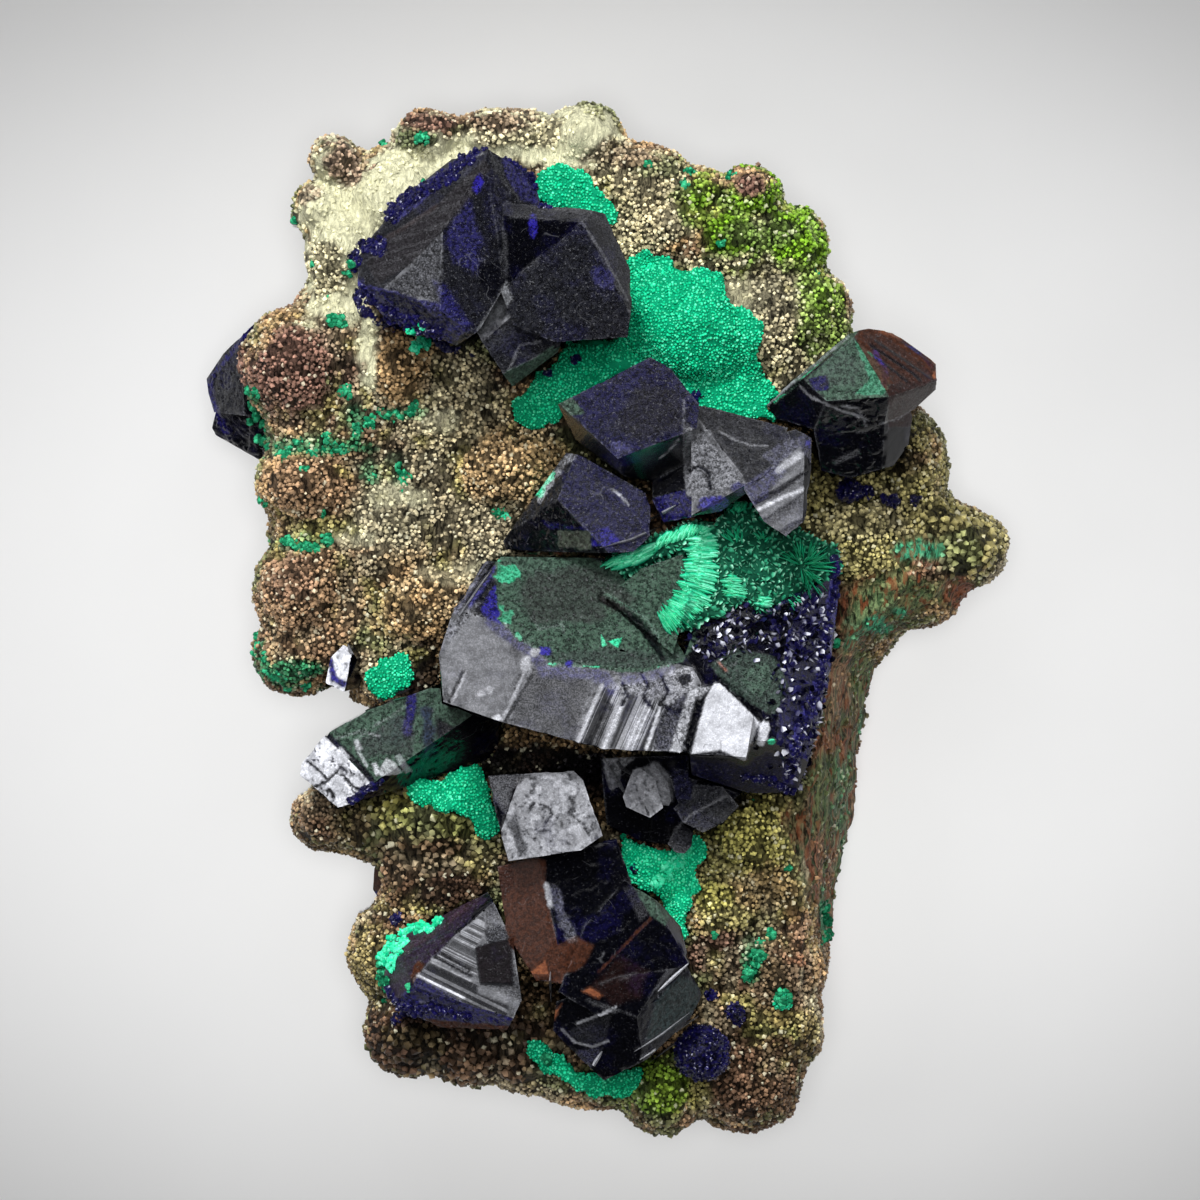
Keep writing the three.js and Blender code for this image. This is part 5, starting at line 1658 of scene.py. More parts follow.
def scatter_tree():
    """Spreads copies of a small shape over a surface, no two closer than `Spacing`."""
    tree = bpy.data.node_groups.new("scatter_grains", "GeometryNodeTree")
    kinds = {"Surface": "Geometry", "Grain": "Object", "Seed": "Int", "Material": "Material"}
    for name in SCATTER_INPUTS:
        kind = "NodeSocket" + kinds.get(name, "Float")
        tree.interface.new_socket(name, in_out="INPUT", socket_type=kind)
    tree.interface.new_socket("Grains", in_out="OUTPUT", socket_type="NodeSocketGeometry")
    given = tree.nodes.new("NodeGroupInput").outputs
    out = tree.nodes.new("NodeGroupOutput")
    spacing, tilt, seed = given["Spacing"], given["Tilt"], given["Seed"]

    # the grains stand densest where the painted growth is strongest
    attribute = "GeometryNodeInputNamedAttribute"
    inputs = {
        "Mesh": given["Surface"],
        "Distance Min": spacing,
        "Density Max": maths("DIVIDE", 1.5, maths("POWER", spacing, 2.0)),
        "Density Factor": result(tree, attribute, {"Name": "growth"}, "Attribute", data_type="FLOAT"),
        "Seed": seed,
    }
    kind = "GeometryNodeDistributePointsOnFaces"
    spread = step(tree, kind, inputs, distribute_method="POISSON").outputs

    # each leans and turns its own way
    spin = times(tilt, -1.0)
    low = result(tree, "ShaderNodeCombineXYZ", {0: spin, 1: spin, 2: -math.pi})
    high = result(tree, "ShaderNodeCombineXYZ", {0: tilt, 1: tilt, 2: math.pi})
    anything = "FunctionNodeRandomValue"
    turn = result(tree, anything, {0: low, 1: high, "Seed": seed}, data_type="FLOAT_VECTOR")
    lean = result(tree, "FunctionNodeEulerToRotation", {0: turn})
    inputs = {0: spread["Rotation"], 1: lean}
    facing = result(tree, "FunctionNodeRotateRotation", inputs, rotation_space="LOCAL")
    inputs = {2: given["Smallest"], 3: given["Largest"], "Seed": seed}
    inputs = {
        "Points": spread["Points"],
        "Instance": result(tree, "GeometryNodeObjectInfo", {"Object": given["Grain"]}, "Geometry"),
        "Rotation": facing,
        "Scale": result(tree, anything, inputs, 1, data_type="FLOAT"),
    }
    grown = result(tree, "GeometryNodeInstanceOnPoints", inputs)

    # each has a tone of its own, and becomes real geometry with its material
    tone = result(tree, anything, {2: 0.0, 3: 1.0, "Seed": 77}, 1, data_type="FLOAT")
    inputs = {"Geometry": grown, "Name": "tone", "Value": tone}
    kind = "GeometryNodeStoreNamedAttribute"
    toned = result(tree, kind, inputs, data_type="FLOAT", domain="INSTANCE")
    real = result(tree, "GeometryNodeRealizeInstances", {0: toned})
    inputs = {"Geometry": real, "Material": given["Material"]}
    coated = result(tree, "GeometryNodeSetMaterial", inputs)
    tree.links.new(coated, out.inputs["Grains"])
    return tree


SCATTER = scatter_tree()


# %% Scattering grains
def scattered(host_mesh, grain, material, spacing, sizes, tilt, seed):
    """The grains on a surface, as one plain mesh: spacing in millimetres, tilt in radians."""
    host = place_object("host", host_mesh)
    modifier = host.modifiers.new("grains", "NODES")
    modifier.node_group = SCATTER
    values = (grain, spacing * MM, *sizes, tilt, seed, material)
    values = dict(zip(SCATTER_INPUTS[1:], values))
    for item in SCATTER.interface.items_tree:
        if item.name in values:
            modifier[item.identifier] = values[item.name]
    graph = bpy.context.evaluated_depsgraph_get()
    evaluated = host.evaluated_get(graph)
    mesh = bpy.data.meshes.new_from_object(evaluated, preserve_all_data_layers=True, depsgraph=graph)
    bpy.data.objects.remove(host)
    return mesh


def seed_shape(name, points, faces):
    """A small shape, one millimetre across, that a scatter copies. Its tip gets a painted highlight."""
    mesh = mesh_of(name, points, faces)
    heights = np.array(points, float)[:, 2]
    paint(mesh, "tip", ramp(heights, -0.1, heights.max()))
    return bpy.data.objects.new(name, mesh)


def rhomb():
    """A squat crystal with four slanted sides and a blunt tip, its foot sunk in the rock."""
    ring = [(0.4, 0.09, 0.1), (-0.07, 0.44, 0.14), (-0.44, -0.05, 0.08), (0.05, -0.4, 0.16)]
    points = [(0, 0, -0.35), *ring, (0.15, 0.12, 0.44), (-0.13, -0.06, 0.5)]
    faces = [(0, b, a) for a, b in ((1, 2), (2, 3), (3, 4), (4, 1))]
    faces += [(1, 2, 5), (2, 3, 6), (3, 4, 6), (4, 1, 5), (2, 6, 5), (4, 5, 6)]
    return seed_shape("rhomb", points, faces)


RHOMB = rhomb()

# %% [markdown]
# Each grain takes the colour of the rock under it. Its foot, down in the gaps, is painted
# nearly black as shade, and its tip is painted bright as a highlight. A few grains are
# clear and look almost white.

# %% The druse material
druse, tree, surface = new_material("druse")
(mineral_colour,) = painted_on(tree, "mineral", output="Color")
tone, tip, sugar = painted_on(tree, "tone", "tip", "sugary")
second = maths("FRACT", times(tone, 9.7))
shade = fitted(maths("POWER", second, 1.3), 1.65, 0.56)
shade = fitted(less(0.95, shade), times(sugar, 0.75), shade)
# painted shade and highlight: each grain darkest at its foot, brightest at its tip
relief = fitted(tip, 0.95, 0.36)
relief = fitted(less(0.92, relief), times(sugar, 0.8), relief)
inputs = {0: mineral_colour, "Scale": times(shade, relief)}
shaded = result(tree, "ShaderNodeVectorMath", inputs, operation="SCALE")
clear = times(between(tone, 0.89, 0.92), between(tip, 0.2, 0.6))
shaded = blend(times(clear, 0.5), shaded, colour(224, 220, 192))
set_surface(surface, Base_Color=shaded, Roughness=0.42, Specular_IOR_Level=0.4)

# %% The rock's own material
rock_skin, tree, surface = new_material("rock_skin")
(mineral_colour,) = painted_on(tree, "mineral", output="Color")
bare_here, sugar = painted_on(tree, "bare", "sugary")
stretch = {0: object_places(tree), 1: (1.0, 0.35, 1.0)}
drawn_out = result(tree, "ShaderNodeVectorMath", stretch, operation="MULTIPLY")
fibres = noise(drawn_out, 2600, detail=5.0, roughness=0.7, distortion=0.6)
hues = noise(drawn_out, 1700, detail=4.0)
contrast = between(fibres, 0.38, 0.62)
contrast = fitted(less(0.52, contrast), times(sugar, 0.7), contrast)
shade = fitted(contrast, 1.8, 0.08)
# painted shade: under the druse the skin is darkened, as the gaps between the grains are
covered_shade = fitted(sugar, 0.72, 0.2)
shade = times(shade, fitted(bare_here, 0.8, covered_shade))
inputs = {0: mineral_colour, "Scale": shade}
shaded = result(tree, "ShaderNodeVectorMath", inputs, operation="SCALE")
broken_here = times(bare_here, 0.6)
rusty_here = times(between(hues, 0.54, 0.6), broken_here)
streaked = blend(rusty_here, shaded, colour(136, 74, 46))
mossy_here = times(between(hues, 0.44, 0.38), broken_here)
streaked = blend(mossy_here, streaked, colour(60, 88, 56))
set_surface(surface, Base_Color=streaked, Roughness=0.7, Normal=bumps(fibres, 1.0, 0.0005))

# %% Show the rock and its druse
dressed(rock, rock_skin)
# the fine grains come in three stretches from the near end to the far one, so that no
# mesh gets too big
level = points[:, 1] + 2 * cloud_at(points, 4, 95)
LEVELS = (-99, -14, 18, 99)
for number, (low, high) in enumerate(zip(LEVELS, LEVELS[1:])):
    paint(rock, "growth", growth * (1 - coarse_zone) * ((level >= low) & (level < high)))
    sizes = {"spacing": 0.27, "sizes": (0.35, 0.75), "tilt": 1.4}
    grains = scattered(rock, RHOMB, druse, seed=5 + number, **sizes)
    new_piece(f"druse_fine_{number + 1}", grains, "drusy_rock")
paint(rock, "growth", growth * coarse_zone)
grains = scattered(rock, RHOMB, druse, spacing=0.44, sizes=(0.5, 1.15), tilt=1.4, seed=9)
new_piece("druse_coarse", grains, "drusy_rock")
new_piece("rock", rock, "drusy_rock", ("matrix",))

# %% [markdown]
# Malachite lies on the rock in thin granular crusts. Each packed crust is remeshed,
# given a lobed outline, and then covered with tiny round grains, which give it its
# velvet look. The grains' tops are painted palest, as a highlight, and the gaps between
# them deep green, as painted shade.

# %% The malachite materials
def green_material(name, dark, middle, pale, deep):
    """Granular malachite: patches of two greens, a painted highlight on grain tops, painted shade in the
    gaps.
    """
    dark, middle, pale, deep = (colour(*tone) for tone in (dark, middle, pale, deep))
    material, tree, surface = new_material(name)
    tone, tip = painted_on(tree, "tone", "tip")
    patchy = place(tree, SPECKLE, Size=0.0012, Sharpness=0.3, Cover=0.5)
    fine = place(tree, SPECKLE, Size=0.00028, Sharpness=0.4, Cover=0.5)
    body = blend(patchy["Mask"], dark, middle)
    # painted highlight on the grain tops, and below it painted shade down in the gaps
    bright = times(times(tone, tone), between(tip, 0.3, 1.0))
    body = blend(bright, body, pale)
    body = blend(times(between(tip, 0.55, 0.0), 0.85), body, deep)
    body = blend(times(fine["Mask"], 0.25), body, deep)
    tilt = bumps(fine["Height"], 0.7, 0.00012)
    set_surface(surface, Base_Color=body, Roughness=0.75, Specular_IOR_Level=0.25, Normal=tilt)
    return material


malachite = green_material("malachite", (8, 176, 122), (28, 212, 154), (116, 248, 202), (4, 112, 78))
tufted = green_material("malachite_tufts", (22, 104, 76), (60, 170, 128), (176, 244, 214), (6, 38, 28))
# a brighter copy for a crust that lies in the crystals' shade: painted light
painted_lit_malachite = green_material("malachite_bright", (14, 216, 152), (48, 240, 178), (150, 255, 222), (6, 138, 98))
leafy = green_material("malachite_lumps", (6, 74, 48), (16, 112, 74), (70, 196, 142), (4, 44, 30))

# %% A round grain
def ball():
    """A ball's points, 1 in radius, and its triangles."""
    bm = bmesh.new()
    bmesh.ops.create_icosphere(bm, subdivisions=1, radius=1.0)
    points = np.array([v.co[:] for v in bm.verts])
    triangles = np.array([[v.index for v in f.verts] for f in bm.faces])
    bm.free()
    return points, triangles


BALL_POINTS, BALL_TRIANGLES = ball()
GRAIN = seed_shape("round_grain", BALL_POINTS * (0.5, 0.5, 0.42), BALL_TRIANGLES)

# %% The crusts
CRUSTS = [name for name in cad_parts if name.startswith("malachite_crust")]
for number, name in enumerate(sorted(CRUSTS)):
    mesh, points = rounded(name, 0.3, 4)
    normals = normals_of(mesh)
    lumps = 0.45 * (cloud_at(points, 1.4, 31, 2) - 0.5) + 0.15 * (cloud_at(points, 0.6, 32, 2) - 0.5)
    upright = points * (1, 1, 0.2)
    lobes = 2.0 * cloud_at(upright, 2.2, 33, 2) + cloud_at(upright, 0.9, 34, 2) - 1.4
    lobes *= ramp(1 - normals[:, 2], 0.15, 0.7)
    move_points(mesh, points + normals * (lumps + lobes)[:, None])
    paint(mesh, "growth", ramp(normals_of(mesh)[:, 2], -0.2, 0.2))
    # the crust at the lower right, in shade, gets the brighter copy as painted light
    skin = painted_lit_malachite if name.endswith("lower_right") else malachite
    dressed(mesh, skin)
    sizes = {"spacing": 0.2, "sizes": (0.16, 0.42), "tilt": 1.5}
    grains = scattered(mesh, GRAIN, skin, seed=40 + number, **sizes)
    smooth_shaded(grains)
    new_piece(name + "_grains", grains, "malachite")
    new_piece(name + "_velvet", mesh, "malachite", (name,))

# %% [markdown]
# The spray beside the plate is malachite in another form: bundles of silky fibres that
# fan out over a dark, tufted mass. The mass is remeshed and covered with little blades.
# Each fan is laid between an inner line, where its fibres start, and an outer one.

# %% The tufted mass of the spray
def blade():
    """A thin pointed blade that stands on its foot."""
    ring = [(0.45, 0.0), (0.1, 0.16), (-0.42, 0.03), (-0.08, -0.15)]
    points = [(0, 0, -0.3)] + [(x, y, 0.1) for x, y in ring] + [(0.18, 0.02, 0.75), (-0.2, 0.0, 0.6)]
    faces = [(0, b, a) for a, b in ((1, 2), (2, 3), (3, 4), (4, 1))]
    faces += [(1, 2, 5), (2, 6, 5), (2, 3, 6), (3, 4, 6), (4, 5, 6), (4, 1, 5)]
    return seed_shape("blade", points, faces)


BLADE = blade()
mass, points = rounded("malachite_spray", 0.3, 3)
uneven = 0.9 * (cloud_at(points, 1.8, 35) - 0.5)
move_points(mass, points + normals_of(mass) * uneven[:, None])
paint(mass, "growth", ramp(normals_of(mass)[:, 2], -0.1, 0.3))
dressed(mass, tufted)
tufts = scattered(mass, BLADE, tufted, spacing=0.28, sizes=(0.3, 0.75), tilt=0.9, seed=61)
new_piece("spray_tufts", tufts, "malachite")
new_piece("spray_mass", mass, "malachite", ("malachite_spray",))

# %% Fibres and other strips
SOLIDS = solid_tree(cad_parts)
SPRAY_GROUND = solid_tree(("malachite_spray", "azurite_main_plate", "matrix"))
# how high fibres and splinters lie where there is nothing under them, in millimetres
SPRAY_LEVEL, SPLINTER_LEVEL = 30.0, 25.0


def height_at(x, y, solids=SOLIDS):
    """How high the specimen stands at a place, in millimetres."""
    hit = solids.ray_cast(Vector((x * MM, y * MM, 1)), Vector((0, 0, -1)))[0]
    return hit.z / MM if hit else None


def corners_on_whole(text):
    """Places on the whole specimen, from thousandths of its width and height."""
    return np.array([on_whole(*share) for share in table_of(text) / 1000])


def rows_of(table):
    """The parts of each line of a table."""
    return [row.split(" | ") for row in lines_of(table)]


def along(corners, share):
    """The place at a share of the length of a line through several corners."""
    lengths = np.concatenate([[0], np.cumsum(np.linalg.norm(np.diff(corners, axis=0), axis=1))])
    return np.array([np.interp(share * lengths[-1], lengths, corners[:, axis]) for axis in (0, 1)])


# how blunt the ends of a strip are, in radians
BLUNT = 0.35


def strips(name, rows, material, slot, extra=None):
    """Thin three-sided strips in one mesh.

    rows: (points along it, width in mm, height in mm, tone)."""
    points, triangles, tones, tips = [], [], [], []
    for spine, width, height, tone in rows:
        spine = np.asarray(spine, float)
        run = np.gradient(spine[:, :2], axis=0)
        side = np.stack([-run[:, 1], run[:, 0], 0 * run[:, 0]], 1)
        side /= np.linalg.norm(side, axis=1)[:, None] + 1e-9
        narrow = np.sin(np.linspace(BLUNT, math.pi - BLUNT, len(spine)))[:, None]
        base = len(points)
        for left, top, right in zip(
            spine + side * width / 2 * narrow - (0, 0, height * 0.6),
            spine + (0, 0, height * 0.4) * narrow,
            spine - side * width / 2 * narrow - (0, 0, height * 0.6),
        ):
            points += [left, top, right]
            # painted light: each strip is bright along its ridge and dark along its sides
            tips += [0.15, 1.0, 0.15]
        for i in range(len(spine) - 1):
            for a, b in ((0, 1), (1, 2), (2, 0)):
                p, q = base + 3 * i + a, base + 3 * i + b
                triangles += [(p, q, q + 3), (p, q + 3, p + 3)]
        end = base + 3 * (len(spine) - 1)
        triangles += [(base, base + 2, base + 1), (end, end + 1, end + 2)]
        tones += [tone] * 3 * len(spine)
    mesh = mesh_of(name, points, triangles)
    paint(mesh, "tone", tones)
    paint(mesh, "tip", tips)
    for value, level in (extra or {}).items():
        paint(mesh, value, np.full(len(points), level))
    mesh.materials.append(material)
    return new_piece(name, mesh, slot)


# %% The fans of fibres
FANS = """
# inner line, outer line, number of fibres, their widths and rise in mm, palest tone
595 575, 595 556, 592 538, 584 525, 575 516 | 634 575, 635 556, 634 537, 627 517, 612 502 | 110 .35 .9 .35 1
592 559, 590 541, 582 527, 570 514 | 634 559, 634 537, 624 516, 599 497 | 90 .25 .7 .5 .9
580 517, 570 512, 560 506 | 607 497, 592 489, 575 485 | 80 .2 .4 .25 .7
607 570, 609 579, 616 587 | 634 569, 634 582, 631 594 | 30 .3 .6 .35 1
553 561, 575 570, 597 576, 614 580 | 568 580, 590 589, 609 594, 626 595 | 80 .25 .6 .4 1
490 552, 495 550, 502 548 | 534 573, 546 567, 553 559 | 60 .35 .7 .7 1
507 558, 517 555, 526 550 | 553 576, 560 570, 563 563 | 60 .35 .7 .7 1
638 525, 641 533, 641 540 | 669 519, 670 527, 665 538 | 34 .25 .5 .3 .9
680 512, 683 516, 687 519 | 699 510, 703 515, 702 519 | 14 .3 .5 .25 1
740 550, 742 552, 745 553 | 782 544, 778 563, 751 575 | 34 .1 .18 .6 .6
739 554, 737 554, 736 552 | 746 575, 726 573, 709 559 | 20 .1 .18 .5 .5
743 548, 741 547, 739 547 | 775 533, 763 523, 741 519 | 20 .1 .2 .4 .5
724 525, 723 523, 721 521 | 741 521, 739 512, 726 508 | 12 .1 .2 .4 .8
660 570, 663 572, 665 573 | 641 580, 650 588, 667 590 | 14 .12 .25 .4 .5
689 574, 692 574, 694 573 | 677 582, 692 584, 706 576 | 14 .12 .25 .4 .5
656 599, 660 601, 665 601 | 645 612, 658 616, 675 609 | 30 .2 .4 .3 .6
"""
rng = np.random.default_rng(81)
fibres = []
for inner, outer, numbers in rows_of(FANS):
    inner, outer = corners_on_whole(inner), corners_on_whole(outer)
    count, thinnest, widest, rise, pale_tone = table_of(numbers)[0]
    count = int(count)
    for share in np.linspace(0, 1, count) + rng.normal(0, 0.5 / count, count):
        share = min(max(share, 0), 1)
        start = along(inner, share) + rng.normal(0, 0.15, 2)
        end = along(outer, min(max(share + rng.normal(0, 0.05), 0), 1))
        end = end + (end - start) * rng.uniform(-0.45, 0.12)
        first = rng.uniform(0, 0.5)
        spine = []
        for t in np.linspace(first, 1, 4):
            x, y = start + (end - start) * t
            ground = height_at(x, y, SPRAY_GROUND) or SPRAY_LEVEL
            arch = rise * math.sin(math.pi * min(t, 0.9))
            spine.append((x, y, ground + 0.22 + arch + rng.uniform(-0.06, 0.06)))
        tone = pale_tone * rng.uniform(0.3, 1.0)
        fibres.append((spine, rng.uniform(thinnest, widest), 0.34, tone))
silky = green_material("malachite_fibres", (12, 160, 112), (36, 200, 148), (150, 250, 214), (4, 76, 54))
strips("spray_fibres", fibres, silky, "malachite")

# %% [markdown]
# Round blue beads are clusters of azurite blades grown outward from one point, so their
# skin is rough; its sparkle comes partly from the blades and partly from painted glints.
# They are remeshed and roughened the same way. Crusts of tiny beads also rim some of the
# big crystals, and dark green ones sit on the rock.

# %% Blue beads
blue_bead, tree, surface = new_material("blue_bead")
tone, tip = painted_on(tree, "tone", "tip")
fine = place(tree, SPECKLE, Size=0.0004, Sharpness=0.6, Cover=0.5)
glint = place(tree, SPECKLE, Size=0.0003, Sharpness=0.9, Cover=0.14, Shift=(0.01, 0.02, 0.005))
body = blend(fine["Mask"], colour(1, 1, 6), colour(12, 10, 46))
# painted highlight: brighter blue towards the grain tips, then near-white painted glints
body = blend(times(tone, times(tip, 0.22)), body, colour(36, 31, 140))
body = blend(times(glint["Mask"], 0.6), body, colour(190, 190, 214))
tilt = bumps(fine["Height"], 0.6, 0.0001)
set_surface(surface, Base_Color=body, Roughness=0.34, IOR=AZURITE_IOR, Normal=tilt)

for name in sorted(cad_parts):
    if "bead" in name or "ball" in name:
        mesh, points = rounded(name, 0.16, 5)
        normals = normals_of(mesh)
        rough = 0.5 * (cloud_at(points, 0.9, 51, 2) - 0.5)
        move_points(mesh, points + normals * rough[:, None])
        paint(mesh, "tip", ramp(cloud_at(points, 0.9, 51, 2), 0.4, 0.7))
        paint(mesh, "tone", ramp(1 - normals[:, 2], 0.1, 0.7))
        is_blue = name.startswith("azurite")
        skin, slot = (blue_bead, "azurite") if is_blue else (malachite, "malachite")
        mesh.materials.clear()
        mesh.materials.append(skin)
        paint(mesh, "growth", ramp(normals[:, 2], -0.6, -0.2))
        grains = scattered(mesh, RHOMB, skin, spacing=0.3, sizes=(0.3, 0.65), tilt=0.8, seed=90)
        new_piece(name + "_blades", grains, slot)
        new_piece(name + "_rough", mesh, slot, (name,))


# %% Small lumps
# a lump with a smaller radius than this, in millimetres, is a single grain
SINGLE = 0.2
# grains in a lump for each millimetre of radius beyond that
CROWD = 60
GRAIN_RADII = (0.14, 0.3)


def lumps(name, rows, material, slot, seed):
    """Clusters of rough little grains in one mesh. rows: (x, y, radius) in millimetres."""
    rng = np.random.default_rng(seed)
    centres, radii = [], []
    for x, y, radius in rows:
        ground = height_at(x, y)
        if ground is None or ground <= 1:
            continue
        grains = 1 + int(CROWD * max(radius - SINGLE, 0))
        for _ in range(grains):
            small = radius if grains == 1 else rng.uniform(*GRAIN_RADII)
            out = 0 if grains == 1 else radius * math.sqrt(rng.uniform(0, 1))
            turn = rng.uniform(0, 2 * math.pi)
            dome = 0.7 * math.sqrt(max(radius**2 - out**2, 0))
            centres.append((x + out * math.cos(turn), y + out * math.sin(turn), ground + dome - 0.5 * small))
            radii.append(small * rng.uniform([0.8, 0.8, 0.6], [1.25, 1.25, 0.9]))
    centres, radii = np.array(centres), np.array(radii)
    count = len(centres)
    turns = rng.uniform(0, 2 * math.pi, count)[:, None]
    x, y, z = BALL_POINTS.T
    cos, sin = np.cos(turns), np.sin(turns)
    turned = np.stack([x * cos - y * sin, x * sin + y * cos, z + 0 * turns], 2)
    moved = turned + 7.3 * np.arange(count)[:, None, None]
    uneven = 1 + 0.8 * (cloud_at(moved.reshape(-1, 3), 0.8, seed, 2).reshape(count, -1, 1) - 0.5)
    points = centres[:, None] + turned * uneven * radii[:, None]
    each = len(BALL_POINTS)
    triangles = BALL_TRIANGLES[None] + each * np.arange(count)[:, None, None]
    mesh = mesh_of(name, points.reshape(-1, 3), triangles.reshape(-1, 3))
    paint(mesh, "tone", np.repeat(rng.uniform(0, 1, count), each))
    # painted light: each grain is palest at its top
    paint(mesh, "tip", np.tile(ramp(BALL_POINTS[:, 2], -0.3, 0.9), count))
    mesh.materials.append(material)
    return new_piece(name, mesh, slot)


# %% Rows of lumps
def lumps_along(corners, radii, gap, rng, spread=0.8):
    """Rows of lumps along a line."""
    corners = corners_on_whole(corners)
    length = np.linalg.norm(np.diff(corners, axis=0), axis=1).sum()
    rows, at = [], 0
    while at < length:
        radius = rng.uniform(*radii)
        x, y = along(corners, at / length) + rng.normal(0, spread * radius, 2)
        rows.append((x, y, radius))
        at += radius * rng.uniform(*gap)
    return rows


def lumps_on(rims, radii, gap, rng, spread=0.8):
    """Rows of lumps along each line of a table."""
    return [row for (rim,) in rows_of(rims) for row in lumps_along(rim, radii, gap, rng, spread)]


def lumps_at(text):
    """Single lumps, from their places in thousandths of the whole and their radii."""
    places = table_of(text)
    return [(*on_whole(across / 1000, up / 1000), radius) for across, up, radius in places]


# %% Green lumps on the rock
GREEN_RIMS = """
69 683, 76 670, 93 665, 113 661, 145 659, 180 665
86 668, 111 665, 148 664, 177 668
187 667, 194 681, 198 695, 205 705
207 697, 228 694, 246 697, 266 706
61 715, 61 700, 65 686
101 574, 113 570, 143 570, 160 579
61 479, 68 464, 81 448, 108 433, 150 426
240 646, 251 635, 249 625
672 156, 680 164, 690 183, 696 195
225 164, 224 145, 231 131
775 220, 778 200, 772 182
"""
GREEN_LUMPS = """
224 959 .5, 117 886 .45, 119 875 .4, 138 843 .4, 161 788 .5, 173 786 .5, 178 718 .72, 272 962 .6,
601 927 .75, 596 919 .5, 655 928 .5, 656 894 .6, 693 890 .45, 723 261 .45, 718 135 .75, 679 321 .35,
634 195 .3, 367 602 .6, 148 603 .42, 128 643 .36, 58 719 .4, 187 843 .4, 181 832 .36, 758 834 .36,
785 476 .3, 271 920 .3, 209 636 .5, 551 937 .4, 156 811 .2, 76 614 .5, 643 861 .35, 425 75 .5,
615 37 .3, 258 147 .3
"""
rng = np.random.default_rng(82)
rows = lumps_on(GREEN_RIMS, (0.15, 0.5), (0.4, 1.4), rng) + lumps_at(GREEN_LUMPS)
lumps("green_lumps", rows, leafy, "malachite", 83)
BRIGHT_RIMS = """
261 778, 267 766, 278 756
267 775, 277 761
227 172, 239 185, 258 195, 290 207
231 168, 243 180, 260 188
367 608, 376 600
566 254, 603 278
"""
rows = lumps_on(BRIGHT_RIMS, (0.3, 0.55), (0.6, 1.2), rng)
lumps("bright_green_lumps", rows, malachite, "malachite", 84)

# %% Blue crusts that rim the crystals
BLUE_RIMS = """
241 877, 237 890, 247 902, 267 907, 286 914, 298 921, 310 924, 321 935, 334 943, 351 947
247 884, 252 895, 273 901, 298 913, 312 918, 324 930, 339 937
373 942, 390 934, 406 923, 418 907, 428 890
190 837, 187 850, 195 860, 212 862, 227 854, 229 845
198 839, 195 848, 207 854, 220 847
190 815, 197 799, 217 788, 248 778, 279 773, 305 759, 334 754
202 813, 219 799, 244 790, 270 784, 297 771
782 567, 782 537, 775 516, 768 479, 763 441, 748 417, 731 384, 723 348
231 147, 241 134, 260 126, 285 130
238 111, 255 120, 285 128, 311 126, 333 120
186 324, 203 334, 223 343
666 349, 702 346, 727 334
"""
BLUE_BEADS = """
241 210 .5, 821 621 .6, 630 137 .5, 462 749 .42, 429 735 .36, 611 713 .5, 662 113 .6, 841 616 .35,
535 260 .35
"""
rng = np.random.default_rng(85)
rows = lumps_on(BLUE_RIMS, (0.14, 0.34), (0.3, 0.7), rng, 0.5) + lumps_at(BLUE_BEADS)
lumps("blue_crusts", rows, blue_bead, "azurite", 86)

# %% [markdown]
# The plate's right end carries a druse of small dark blades that sparkle with painted
# glints near their tips, and splinters of azurite stick out from under the crystals.

# %% The druse on the plate
dark_blade, tree, surface = new_material("dark_blade")
tone, tip = painted_on(tree, "tone", "tip")
body = blend(between(tone, 0.1, 0.7), colour(2, 2, 7), colour(26, 24, 68))
# painted glints: near-white on the upper part of some blades
bright = times(between(tone, 0.58, 0.95), between(tip, 0.0, 0.5))
body = blend(bright, body, colour(206, 208, 220))
set_surface(surface, Base_Color=body, Roughness=0.25, IOR=AZURITE_IOR)

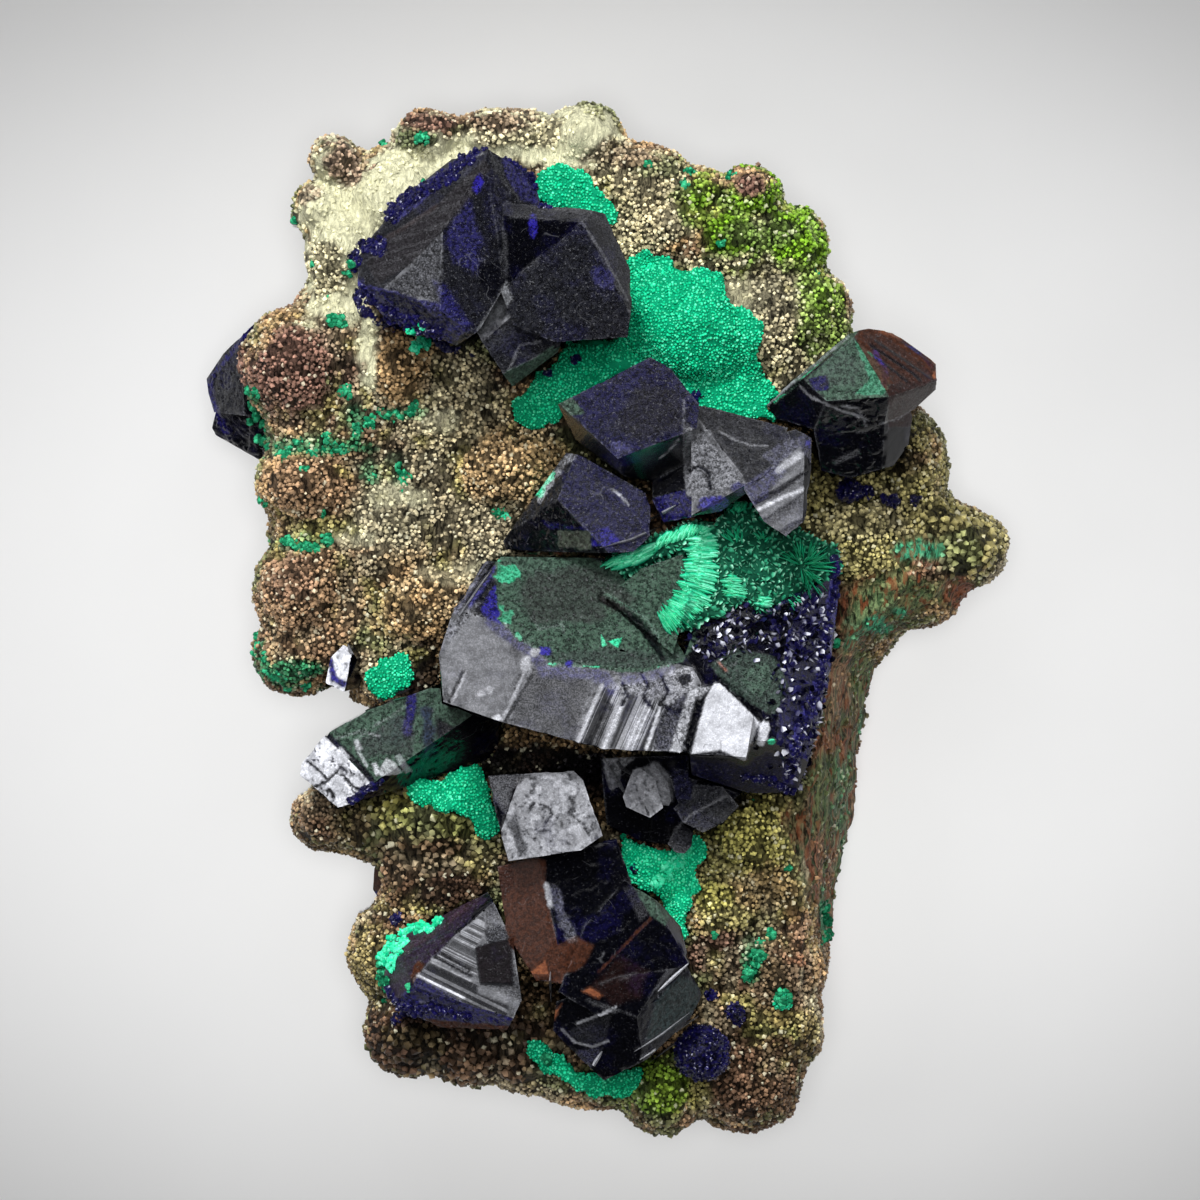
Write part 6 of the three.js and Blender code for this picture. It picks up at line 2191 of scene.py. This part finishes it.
plate_piece = bpy.data.objects["azurite_main_plate_faces"]
points = points_of(plate_piece.data)
growth = np.zeros(len(points))
DRUSE_ON_PLATE = [
    ((0.747, 0.684), (2.95, 2.26), 1.0),
    ((0.678, 0.642), (2.09, 1.74), 1.0),
    ((0.885, 0.684), (3.48, 3.48), 1.0),
    ((0.898, 0.393), (2.78, 6.95), 0.45),
]
for number, (place_on, radii, share) in enumerate(DRUSE_ON_PLATE):
    here = blob(points, on_node("azurite_main_plate", *place_on), radii, 0.5, 1.2, 71 + number)
    growth = np.maximum(growth, share * here)
growth *= ramp(normals_of(plate_piece.data)[:, 2], -0.4, 0.1) * ramp(points[:, 2], 18, 20)
paint(plate_piece.data, "growth", growth)
sizes = {"spacing": 0.3, "sizes": (0.35, 0.9), "tilt": 1.1}
blades = scattered(plate_piece.data, BLADE, dark_blade, seed=71, **sizes)
plate_piece.data.attributes.remove(plate_piece.data.attributes["growth"])
new_piece("plate_druse", blades, "azurite")

# %% Splinters of azurite
SPLINTERS = """
# line, rise above the surface and width in mm, how pale
563 145, 580 157, 600 171 | .5 .3 .9
541 79, 575 96, 614 116 | .4 .26 .7
553 71, 585 90, 619 108 | .3 .2 .3
534 87, 566 102, 602 123 | .4 .18 .4
481 68, 487 77, 495 87 | .4 .34 .6
432 164, 431 148, 432 130 | .3 .22 .5
312 504, 334 529, 354 552 | .3 .35 .1
321 502, 343 527, 360 546 | .3 .3 .35
302 497, 319 517, 339 538 | .2 .3 .02
209 416, 233 426, 258 432 | .3 .5 .45
204 411, 228 418, 253 424 | .2 .35 .05
497 367, 507 353, 522 334 | .3 .5 .25
507 369, 519 357, 534 349 | .3 .4 .1
547 321, 556 306, 553 292 | .2 .4 .03
492 567, 531 575, 566 588 | .2 .3 .25
551 594, 570 601, 585 608 | .3 .3 .5
181 476, 193 459, 184 443 | .55 .95 0
"""
for number, (corners, numbers) in enumerate(rows_of(SPLINTERS)):
    corners = corners_on_whole(corners)
    rise, width, level = table_of(numbers)[0]
    spine = []
    for share in np.linspace(0, 1, 5):
        x, y = along(corners, share)
        spine.append((x, y, (height_at(x, y) or SPLINTER_LEVEL) + rise))
    extra = {**BARE, "pale": level, "mottle": 0.5}
    strips(f"splinter_{number + 1}", [(spine, width, width * 1.4, 0.5)], azurite, "azurite", extra)
